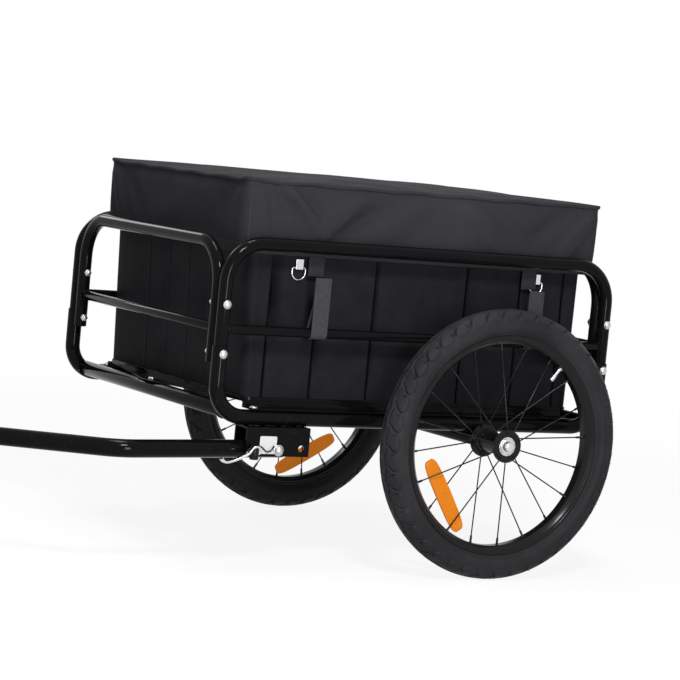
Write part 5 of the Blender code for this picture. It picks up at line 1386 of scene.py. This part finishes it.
for side, word, centre in WHEELS:
    body = f"{word}_wheel"
    hub = revolved(hub_profile(), centre, side * X_AXIS, 48, soft=0.0006)
    wires, nipples = [], []
    for i in range(SPOKES):
        angle = SPOKE_PHASE + math.pi / 2 + 2 * math.pi * i / SPOKES
        x = FLANGES[i % 2]
        away = 1 if i % 4 < 2 else -1
        root = wheel_point(centre, side, x, SPOKE_CIRCLE, angle)
        elbow = wheel_point(centre, side, x + away * SPOKE_HOOK, SPOKE_CIRCLE + SPOKE_LIFT, angle)
        tip = wheel_point(centre, side, 0, RIM_INNER + IN_RIM, angle)
        wires.append(tube([elbow, (elbow + tip) / 2, tip], X_AXIS, SPOKE_RADIUS, sides=10))
        wires.append(revolved(SPOKE_HEAD, root, side * away * X_AXIS, 12, soft=0.0002))
        nipples.append(revolved(NIPPLE, tip, unit(tip - elbow), 12, soft=0.0003))
    piece(f"{word}_flanged_hub", [hub], RIM_BLACK, body, f"{word}_hub")
    piece(f"{word}_spokes", wires, SPOKE_WIRE, body, f"{word}_hub", slot="rim_black")
    piece(f"{word}_nipples", nipples, SPOKE_WIRE, body, slot="rim_black")
    valve = wheel_point(centre, side, VALVE_ASIDE, RIM_INNER + IN_RIM, VALVE_ANGLE)
    inwards = unit(centre + side * VALVE_ASIDE * X_AXIS - valve)
    piece(f"{word}_valve_stem", [revolved(VALVE, valve, inwards, 20)], BOLT_ZINC, body)
    for name in ("outer_bearing", "inner_bearing"):
        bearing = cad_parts[f"{word}_{name}"].data
        bearing.materials.clear()
        bearing.materials.append(BRIGHT_STEEL)

# Axle stubs and release buttons
# A turned steel stub holds each wheel in the axle tube.
# It is let go by a domed push button in its polished head.
STUB_RADIUS = 0.0077
STUB_THIN = 0.0057
STUB_HEAD_RADIUS = 0.0115
STUB_HEAD = 0.0026
STUB_LENGTH = 0.074
BUTTON_SHAFT = 0.004
BUTTON_DOME_RADIUS = 0.007
BUTTON_DOME = 0.0032
BUTTON_LENGTH = 0.019
BUTTON_TRAVEL = 0.003
shoulder = HUB_INNER - CLEARANCE
seat = HUB_OUTER + CLEARANCE
top = seat + STUB_HEAD
foot = shoulder - STUB_LENGTH
bore = BUTTON_SHAFT + CLEARANCE
bore_end = top - BUTTON_LENGTH - BUTTON_TRAVEL
base = top + BUTTON_TRAVEL + CLEARANCE
stub = [(foot, 0), (foot, STUB_RADIUS - 0.0012), (foot + 0.0012, STUB_RADIUS), (shoulder, STUB_RADIUS)]
stub += [(shoulder, STUB_THIN), (seat, STUB_THIN), (seat, STUB_HEAD_RADIUS), (top - 0.0008, STUB_HEAD_RADIUS)]
stub += [(top, STUB_HEAD_RADIUS - 0.0009), (top, 0.0082), (top - 0.0005, 0.0078), (top - 0.0005, bore)]
stub += [(bore_end, bore), (bore_end, 0)]
button = [(base - BUTTON_LENGTH, 0), (base - BUTTON_LENGTH, BUTTON_SHAFT), (base, BUTTON_SHAFT)]
button += [(base, BUTTON_DOME_RADIUS)] + dome(base + 0.0006, BUTTON_DOME_RADIUS, BUTTON_DOME - 0.0006, 9)
for side, word, centre in WHEELS:
    grid = revolved(stub, centre, side * X_AXIS, 48, soft=0.0002)
    piece(f"{word}_turned_stub", [grid], BRIGHT_STEEL, "frame", f"{word}_axle_stub")
    grid = revolved(button, centre, side * X_AXIS, 36, soft=0.0002)
    piece(f"{word}_domed_button", [grid], BRIGHT_STEEL, f"{word}_button", f"{word}_release_button")

# Spoke reflectors
# One amber reflector in each wheel, moulded in clear plastic over small prisms.
# It has a raised border and a round boss at its middle, and is clipped to the spokes.
REFLECTOR_HALF = 0.0595
REFLECTOR_WIDE = 0.0122
REFLECTOR_THICK = 0.0038
REFLECTOR_TAPER = 0.22
REFLECTOR_TAPER_POWER = 2.6
REFLECTOR_END_POWER = 0.24
REFLECTOR_SIDE_POWER = 0.42
REFLECTOR_OUTER_X = 0.0009
REFLECTOR_RADIUS = 0.1148
PRISM = 0.0026
REFLECTOR_TURNS = (math.radians(-138.2), math.radians(-107.8))
REFLECTOR_LEANS = (math.radians(-10.0), math.radians(-11.5))


def prism_plastic():
    """Amber plastic: small crossed prisms from the UV, deeper colour between them, and a clear glossy skin.

    A painted glow: a weak emission of the same colour stands in for the light that the clear plastic lets
    through from behind.
    """
    material, tree, shader = new_material("reflector_amber", Specular_IOR_Level=0.15, Emission_Strength=0.85)
    apart = node(tree, "SeparateXYZ", {"Vector": place_of(tree, "UV")}).outputs
    facets = (zigzag(tree, maths(tree, "MULTIPLY", apart[way], 1 / PRISM)) for way in "XY")
    prism = maths(tree, "ADD", *facets)
    place = place_of(tree)
    grain = effect(tree, GRAIN, Vector=place, Scale=500.0)
    marks = effect(tree, MARKS, Vector=place, Scale=120.0, Amount=0.6)
    share = ramp(tree, prism, 0.15, 0.85)
    tone = blend_colour(tree, share, (0.25, 0.052, 0.0006, 1), (0.44, 0.145, 0.003, 1))
    tone = blend_colour(tree, maths(tree, "MULTIPLY", grain["Broad"], 0.3), tone, (0.34, 0.09, 0.0012, 1))
    # Painted glow: the amber tone is also given out as emission, though the reflector is no lamp.
    send(tree, shader.inputs, Emission_Color=tone)
    finish(tree, shader, tone, ramp(tree, marks["Dust"], 0.0, 0.7, 0.16, 0.3), prism, 0.0005)
    return material


REFLECTOR_AMBER = prism_plastic()


def reflector_grids(centre, side, turn, lean):
    """A long bar whose width falls off towards its rounded ends, at a small lean to the wheel's radius.

    The outline at angle a has length share cos a and width share sin a, both flattened by a power. The face
    rises from a bevelled edge to a raised border and a flat field. A round boss stands on its middle.
    """
    angle = np.linspace(0, 2 * math.pi, 97)
    along = np.sign(np.cos(angle)) * np.abs(np.cos(angle)) ** REFLECTOR_END_POWER
    across = np.sign(np.sin(angle)) * np.abs(np.sin(angle)) ** REFLECTOR_SIDE_POWER
    width = REFLECTOR_WIDE * (1 - REFLECTOR_TAPER * np.abs(along) ** REFLECTOR_TAPER_POWER)
    outline = np.stack([REFLECTOR_HALF * along, width * across], -1)
    depth = REFLECTOR_THICK
    rows = [(0.0, -0.0004), (0.75, -0.0004), (0.86, -0.0004), (0.88, 0.0), (0.95, 0.0), (1.0, -0.0007)]
    rows += [(1.0, -depth + 0.0005), (0.97, -depth), (0.5, -depth), (0.0, -depth)]
    share, level = np.array(rows).T[:, :, None, None]
    flat = outline * share
    spot = wheel_point(centre, side, 0, REFLECTOR_RADIUS, turn)
    wide_way = wheel_point(0, side, 0, 1, turn + lean)
    long_way = wheel_point(0, side, 0, 1, turn + lean + math.pi / 2)
    out = (REFLECTOR_OUTER_X + level) * side * X_AXIS
    grid = spot + flat[..., :1] * long_way + flat[..., 1:] * wide_way + out
    front = REFLECTOR_OUTER_X - 0.0007
    boss = [(front - 0.0006, 0), (front - 0.0006, 0.0066), (front + 0.0009, 0.0062), (front + 0.0009, 0.0052)]
    boss += [(front + 0.0006, 0.0048), (front + 0.0006, 0.0024), (front + 0.001, 0.0018), (front + 0.001, 0)]
    return (grid, flat), revolved(boss, spot, side * X_AXIS, 32, soft=0.0001)


for (side, word, centre), turn, lean in zip(WHEELS, REFLECTOR_TURNS, REFLECTOR_LEANS):
    grids = reflector_grids(centre, side, turn, lean)
    piece(f"{word}_amber_reflector", grids, REFLECTOR_AMBER, f"{word}_wheel", f"{word}_reflector", sharp=20)

# Hitch bracket
# A channel of folded steel, tack welded under the left side tube and coated with it, with a blank pale label.
# Its cheeks are drilled for the pivot and slotted for the lock, so the drawbar can fold.
BRACKET_EDGE = 0.0006
LABEL_THICK = 0.0002
TACK_ASIDE = 0.0062
TACK_HALF = 0.0045
TACK_RADIUS = 0.0016
TACK_LIFT = 0.0008
TACK_PLACES = np.linspace(0.012, 0.09, 4)
BRACKET_LOW, BRACKET_HIGH = node_corners("hitch_bracket")
PIVOT = node_middle("pivot_bolt") * (0, 1, 1) + RAIL_X * X_AXIS
softened_copy("folded_bracket", "hitch_bracket", BLACK_PAINT, "frame", BRACKET_EDGE)
tacks = []
angle = np.linspace(0, math.pi, 14)
for side in (-1, 1):
    for back in TACK_PLACES:
        spot = np.array([RAIL_X + side * TACK_ASIDE, BRACKET_LOW[1] + back, BRACKET_HIGH[2] + TACK_LIFT])
        path = spot + TACK_HALF * np.cos(angle)[:, None] * Y_AXIS
        tacks.append(carry(path, Z_AXIS, circle(TACK_RADIUS, 8), 0.35 + 0.9 * np.sin(angle)))
piece("bracket_tack_welds", tacks, BLACK_PAINT, "frame")

# The label's pale grey plastic film, slightly clouded and glossy, with nothing on it
LABEL_TONES = ((0.42, 0.42, 0.43, 1), (0.54, 0.54, 0.55, 1))
LABEL_SPREAD = ("Fine", 0.3, 0.7, 0.25, 0.38)
LABEL_FILM = worn_material("label_film", 900.0, LABEL_TONES, LABEL_SPREAD, 0.00003, Specular_IOR_Level=0.5)
LABEL_FRONT = AXLE[1] - 0.3685
LABEL_BACK = AXLE[1] - 0.3415
LABEL_TOP = BRACKET_HIGH[2] - 0.0125
LABEL_FOOT = BRACKET_LOW[2] + 0.0035


def label_grid():
    """A flat rectangle with round corners, in rows from its middle out over its edge to the plate."""
    half, tall = (LABEL_BACK - LABEL_FRONT) / 2, (LABEL_TOP - LABEL_FOOT) / 2
    outline = box_outline(half, -tall, tall, 0.002, np.linspace(0, 1, 5), np.linspace(0, 1, 5), 5)[0]
    outline = in_side_plane(0, outline)
    middle = np.array([BRACKET_HIGH[0], (LABEL_FRONT + LABEL_BACK) / 2, (LABEL_TOP + LABEL_FOOT) / 2])
    share, lift = np.array([(0, 1), (0.98, 1), (1, 0.6), (1, -0.5), (0, -0.5)]).T[:, :, None, None]
    return middle + outline * share + X_AXIS * (0.0001 + LABEL_THICK * lift)


piece("blank_label", [label_grid()], LABEL_FILM, "frame", slot="black_paint")

# Drawbar
# One 25.4 mm black steel tube: back from the coupler, then bent twice to run out to the bracket under the
# left side. It is drilled for its pivot and for the lock skewer.
BAR_TUBE_RADIUS = 0.0127
BAR_TUBE_WALL = 0.0015
BAR_SLOPE = math.radians(1.15)
BAR_TAIL = 0.016
BAR_TO_BEND = 0.237
BAR_BEND_ANGLE = math.radians(40.5)
BAR_CROSS_RUN = 0.235
BAR_NOSE_RUN = 0.363
BAR_BEND_RADIUS = 0.070
BAR_FORWARD = np.array([0, -math.cos(BAR_SLOPE), -math.sin(BAR_SLOPE)])
inwards = BAR_FORWARD * math.cos(BAR_BEND_ANGLE) - X_AXIS * math.sin(BAR_BEND_ANGLE)
first_bend = PIVOT + BAR_FORWARD * BAR_TO_BEND
second_bend = first_bend + inwards * BAR_CROSS_RUN
NOSE = second_bend + BAR_FORWARD * BAR_NOSE_RUN
bar_line = bent([PIVOT - BAR_FORWARD * BAR_TAIL, first_bend, second_bend, NOSE], BAR_BEND_RADIUS, 20)
bar_grid = tube(bar_line, np.cross(X_AXIS, BAR_FORWARD), BAR_TUBE_RADIUS, BAR_TUBE_WALL, 40)
piece("bent_drawbar", [bar_grid], BLACK_PAINT, "drawbar", "drawbar")

# Pivot bolt, lock skewer and lever
# The pivot is a domed bolt with a washer and a nut. The lock is a steel skewer with a barrel and a cam lever
# of bright pressed steel, which pinches the bracket's cheeks on the drawbar.
PLATE_OUT = 0.0181
PIVOT_RADIUS = 0.004
PIVOT_WASHER = 0.008
BARREL_RADIUS = 0.0058
LOCK_REACH = 0.034
LOCK_SPOT = PIVOT + BAR_FORWARD * LOCK_REACH
CAM_RADIUS = 0.0066
CAM_HEIGHT = 0.018
LEVER_REACH = 0.054
CAM_SPOT = LOCK_SPOT + (PLATE_OUT + 0.0134, -0.008, -0.002)
head = PLATE_OUT + CLEARANCE


def hexagon_nut(height, wide, edge, end):
    """The profile of a nut on the far cheek: its height, its radius over the corners, and its softer ends."""
    return [
        (-head, 0),
        (-head, wide - 0.0004),
        (-head - edge, wide),
        (-head - height + 0.0005, wide),
        (-head - height, end),
        (-head - height, 0),
    ]


bolt = [(-head - 0.001, 0), (-head - 0.001, PIVOT_RADIUS), (head, PIVOT_RADIUS), (head, PIVOT_WASHER)]
bolt += [(head + 0.0015, PIVOT_WASHER), (head + 0.0015, 0.0065)] + dome(head + 0.0024, 0.0065, 0.0044, 8)
grids = [revolved(bolt, PIVOT, X_AXIS, 36)]
grids.append(revolved(hexagon_nut(0.0065, 0.0077, 0.0005, 0.0068), PIVOT, X_AXIS, 48, 0.0065, 0.0002))
piece("pivot_bolt_and_nut", grids, BOLT_ZINC, "frame", "pivot_bolt")
skewer = [(-head - 0.001, 0), (-head - 0.001, 0.003), (head, 0.003), (head, BARREL_RADIUS)]
skewer += [(head + 0.0012, BARREL_RADIUS), (head + 0.0016, 0.0052), (head + 0.0034, 0.0052)]
skewer += [(head + 0.0038, BARREL_RADIUS), (head + 0.0048, 0.0056), (head + 0.0048, 0)]
grids = [revolved(skewer, LOCK_SPOT, X_AXIS, 32, soft=0.0002)]
grids.append(revolved(hexagon_nut(0.008, 0.0058, 0.0004, 0.005), LOCK_SPOT, X_AXIS, 48, 0.005, 0.0002))
piece("skewer_and_nut", grids, BRIGHT_STEEL, "drawbar", "lock_skewer")


def lever_line():
    """The lever's middle line: over the cam, down its front, and forward in a long sag to a lifted tip."""
    points = [(0.0030, 0.0080), (-0.0012, 0.0092), (-0.0055, 0.0078), (-0.0094, 0.0038), (-0.0140, -0.0012)]
    points += [(-0.0212, -0.0048), (-0.0300, -0.0085), (-0.0374, -0.0110), (-0.0450, -0.0128)]
    points += [(-0.0505, -0.0122), (-LEVER_REACH - 0.0006, -0.0080)]
    return CAM_SPOT + smooth_curve(in_side_plane(0, points), 80)


low, high = -CAM_HEIGHT / 2, CAM_HEIGHT / 2 - 0.0020
cam = [(low, 0), (low, CAM_RADIUS - 0.0012), (low + 0.0012, CAM_RADIUS), (high - 0.0012, CAM_RADIUS)]
cam += [(high, CAM_RADIUS - 0.0012), (high, 0)]
cam_grid = revolved(cam, CAM_SPOT + (0, -0.0035, 0), Z_AXIS, 36, soft=0.0006)
piece("lever_cam", [cam_grid], RIM_BLACK, "lock_lever", "lock_lever", slot="bright_steel")
blade = strip(lever_line(), X_AXIS, 0.0095, 0.0034, 0.0012)
piece("cam_lever", [blade], BRIGHT_STEEL, "lock_lever", "lock_lever")

# Keeper cord
# A thin braided cord keeps the skewer with the bracket.
# It runs slack from the skewer's barrel to the pivot's washer.
CORD_RADIUS = 0.0011
CORD_GAP = 0.0006


def braided_cord():
    """A braid: the weave on the cord's own UV, turned to run round it on the slant, with a waxy shine."""
    material, tree, shader = new_material("cord_black", Specular_IOR_Level=0.3)
    turned = {"Vector": place_of(tree, "UV"), "Rotation": (0, 0, math.radians(45))}
    slant = node(tree, "Mapping", turned).outputs["Vector"]
    weave = effect(tree, WEAVE, UV=slant, Threads=1500.0)
    colour = blend_colour(tree, weave["Tone"], (0.009, 0.009, 0.0095, 1), (0.02, 0.02, 0.021, 1))
    finish(tree, shader, colour, ramp(tree, weave["Height"], 0.0, 1.0, 0.6, 0.42), weave["Height"], 0.0002)
    return material


def cord_route():
    """The route's own points about the pivot, as the construction has them."""
    stand_off = CORD_GAP + CORD_RADIUS
    x, barrel, washer = PLATE_OUT + stand_off, BARREL_RADIUS + stand_off, PIVOT_WASHER + stand_off
    lock = BAR_FORWARD * LOCK_REACH
    route = [lock + (x, 0, barrel), lock + (x, barrel, barrel * 0.55), (x, -2.0 * washer, -0.2 * washer)]
    return PIVOT + np.array([*route, (x, -1.25 * washer, 0), (x, -0.85 * washer, 0.65 * washer)])


cord_line = smooth_curve(cord_route(), 60)
cord_grid = tube(cord_line, X_AXIS, CORD_RADIUS, sides=14)
cord = piece("keeper_cord", [cord_grid], braided_cord(), "drawbar", "tether_cord")

# Coupler
# A forged clevis on a plug in the drawbar's front end, coated black, with a plated drop pin through its ears.
COUPLER_EDGE = 0.0009
COUPLER_REACH = 0.045
EAR_TOP = 0.0125
softened_copy("clevis_coupler", "hitch_head", BLACK_PAINT, "hitch_head", COUPLER_EDGE)
pin_axis = np.array([0, -math.sin(BAR_SLOPE), math.cos(BAR_SLOPE)])
seat = EAR_TOP + CLEARANCE
pin = [(-0.0185, 0), (-0.0185, 0.0026), (-0.0170, 0.004), (seat, 0.004), (seat, 0.009)]
pin += [(seat + 0.0034, 0.009), (seat + 0.004, 0.0078), (seat + 0.004, 0)]
pin_grid = revolved(pin, NOSE + BAR_FORWARD * COUPLER_REACH, pin_axis, 36, soft=0.0003)
piece("drop_pin", [pin_grid], BOLT_ZINC, "hitch_pin", "hitch_pin")

# Stage
# A plain pale floor that keeps the trailer's shadow, white far off, under large soft lamps.
FLOOR_REACH = 8.0
STAGE_WHITE = (0.94, 0.94, 0.94, 1)


def seen_ray(tree):
    """1 for a ray from the camera, or one that left something glossy or clear, else 0."""
    path = tree.nodes.new("ShaderNodeLightPath").outputs
    clear = maths(tree, "MAXIMUM", path["Is Glossy Ray"], path["Is Transmission Ray"])
    return maths(tree, "MAXIMUM", path["Is Camera Ray"], clear)


def floor_material():
    """A pale diffuse floor, which the camera sees as mostly pure white, and as wholly white further out."""
    material = bpy.data.materials.new("studio_floor")
    material.use_nodes = True
    tree = material.node_tree
    tree.nodes.clear()
    distance = node(tree, "VectorMath", {0: place_of(tree)}, operation="LENGTH").outputs["Value"]
    far = ramp(tree, distance, 0.9, 3.0)
    share = maths(tree, "MULTIPLY", seen_ray(tree), ramp(tree, far, 0.0, 1.0, 0.89, 1.0))
    diffuse = node(tree, "BsdfDiffuse", {"Color": STAGE_WHITE}).outputs["BSDF"]
    white = node(tree, "Emission", {"Color": (1, 1, 1, 1), "Strength": 1.0}).outputs["Emission"]
    mixed = node(tree, "MixShader", {"Fac": share, 1: diffuse, 2: white}).outputs["Shader"]
    node(tree, "OutputMaterial", {"Surface": mixed})
    return material


floor_mesh = bpy.data.meshes.new("floor")
corners = [(x * FLOOR_REACH, y * FLOOR_REACH, 0) for x, y in ((-1, -1), (1, -1), (1, 1), (-1, 1))]
floor_mesh.from_pydata(corners, [], [(0, 1, 2, 3)])
floor_mesh.materials.append(floor_material())
floor = add_object("floor", floor_mesh)


def soft_lamp(name, spot, aim, width, height, power):
    """A rectangular soft box at a spot, turned to its aim."""
    light = bpy.data.lights.new(name, "AREA")
    light.shape = "RECTANGLE"
    light.size = width
    light.size_y = height
    light.energy = power
    back = unit(spot - aim)
    right = unit(np.cross(Z_AXIS + 1e-4 * X_AXIS, back))
    add_object(name, light).matrix_world = axes_matrix(right, np.cross(back, right), back, spot)


LOAD = AXLE + (0, -0.1, 0.15)
soft_lamp("key_lamp", LOAD + (1.72, -0.62, 1.5), LOAD + (0.2, -0.2, 0), 0.34, 0.34, 38.0)
soft_lamp("top_lamp", LOAD + (0.0, -0.2, 2.8), LOAD, 1.2, 0.6, 34.0)
soft_lamp("low_lamp", LOAD + (2.2, -0.5, 0.05), LOAD + (0, -0.2, -0.15), 0.35, 0.8, 22.0)
soft_lamp("far_lamp", LOAD + (-2.8, -0.6, 1.6), LOAD, 0.8, 1.0, 14.0)
world = bpy.data.worlds.new("studio")
world.use_nodes = True
bpy.context.scene.world = world
tree = world.node_tree
background = tree.nodes["Background"]
background.inputs["Color"].default_value = (1, 1, 1, 1)
tree.links.new(ramp(tree, seen_ray(tree), 0.0, 1.0, 0.2, 1.0), background.inputs["Strength"])
bpy.context.scene.view_settings.view_transform = "Standard"

bpy.context.view_layer.update()
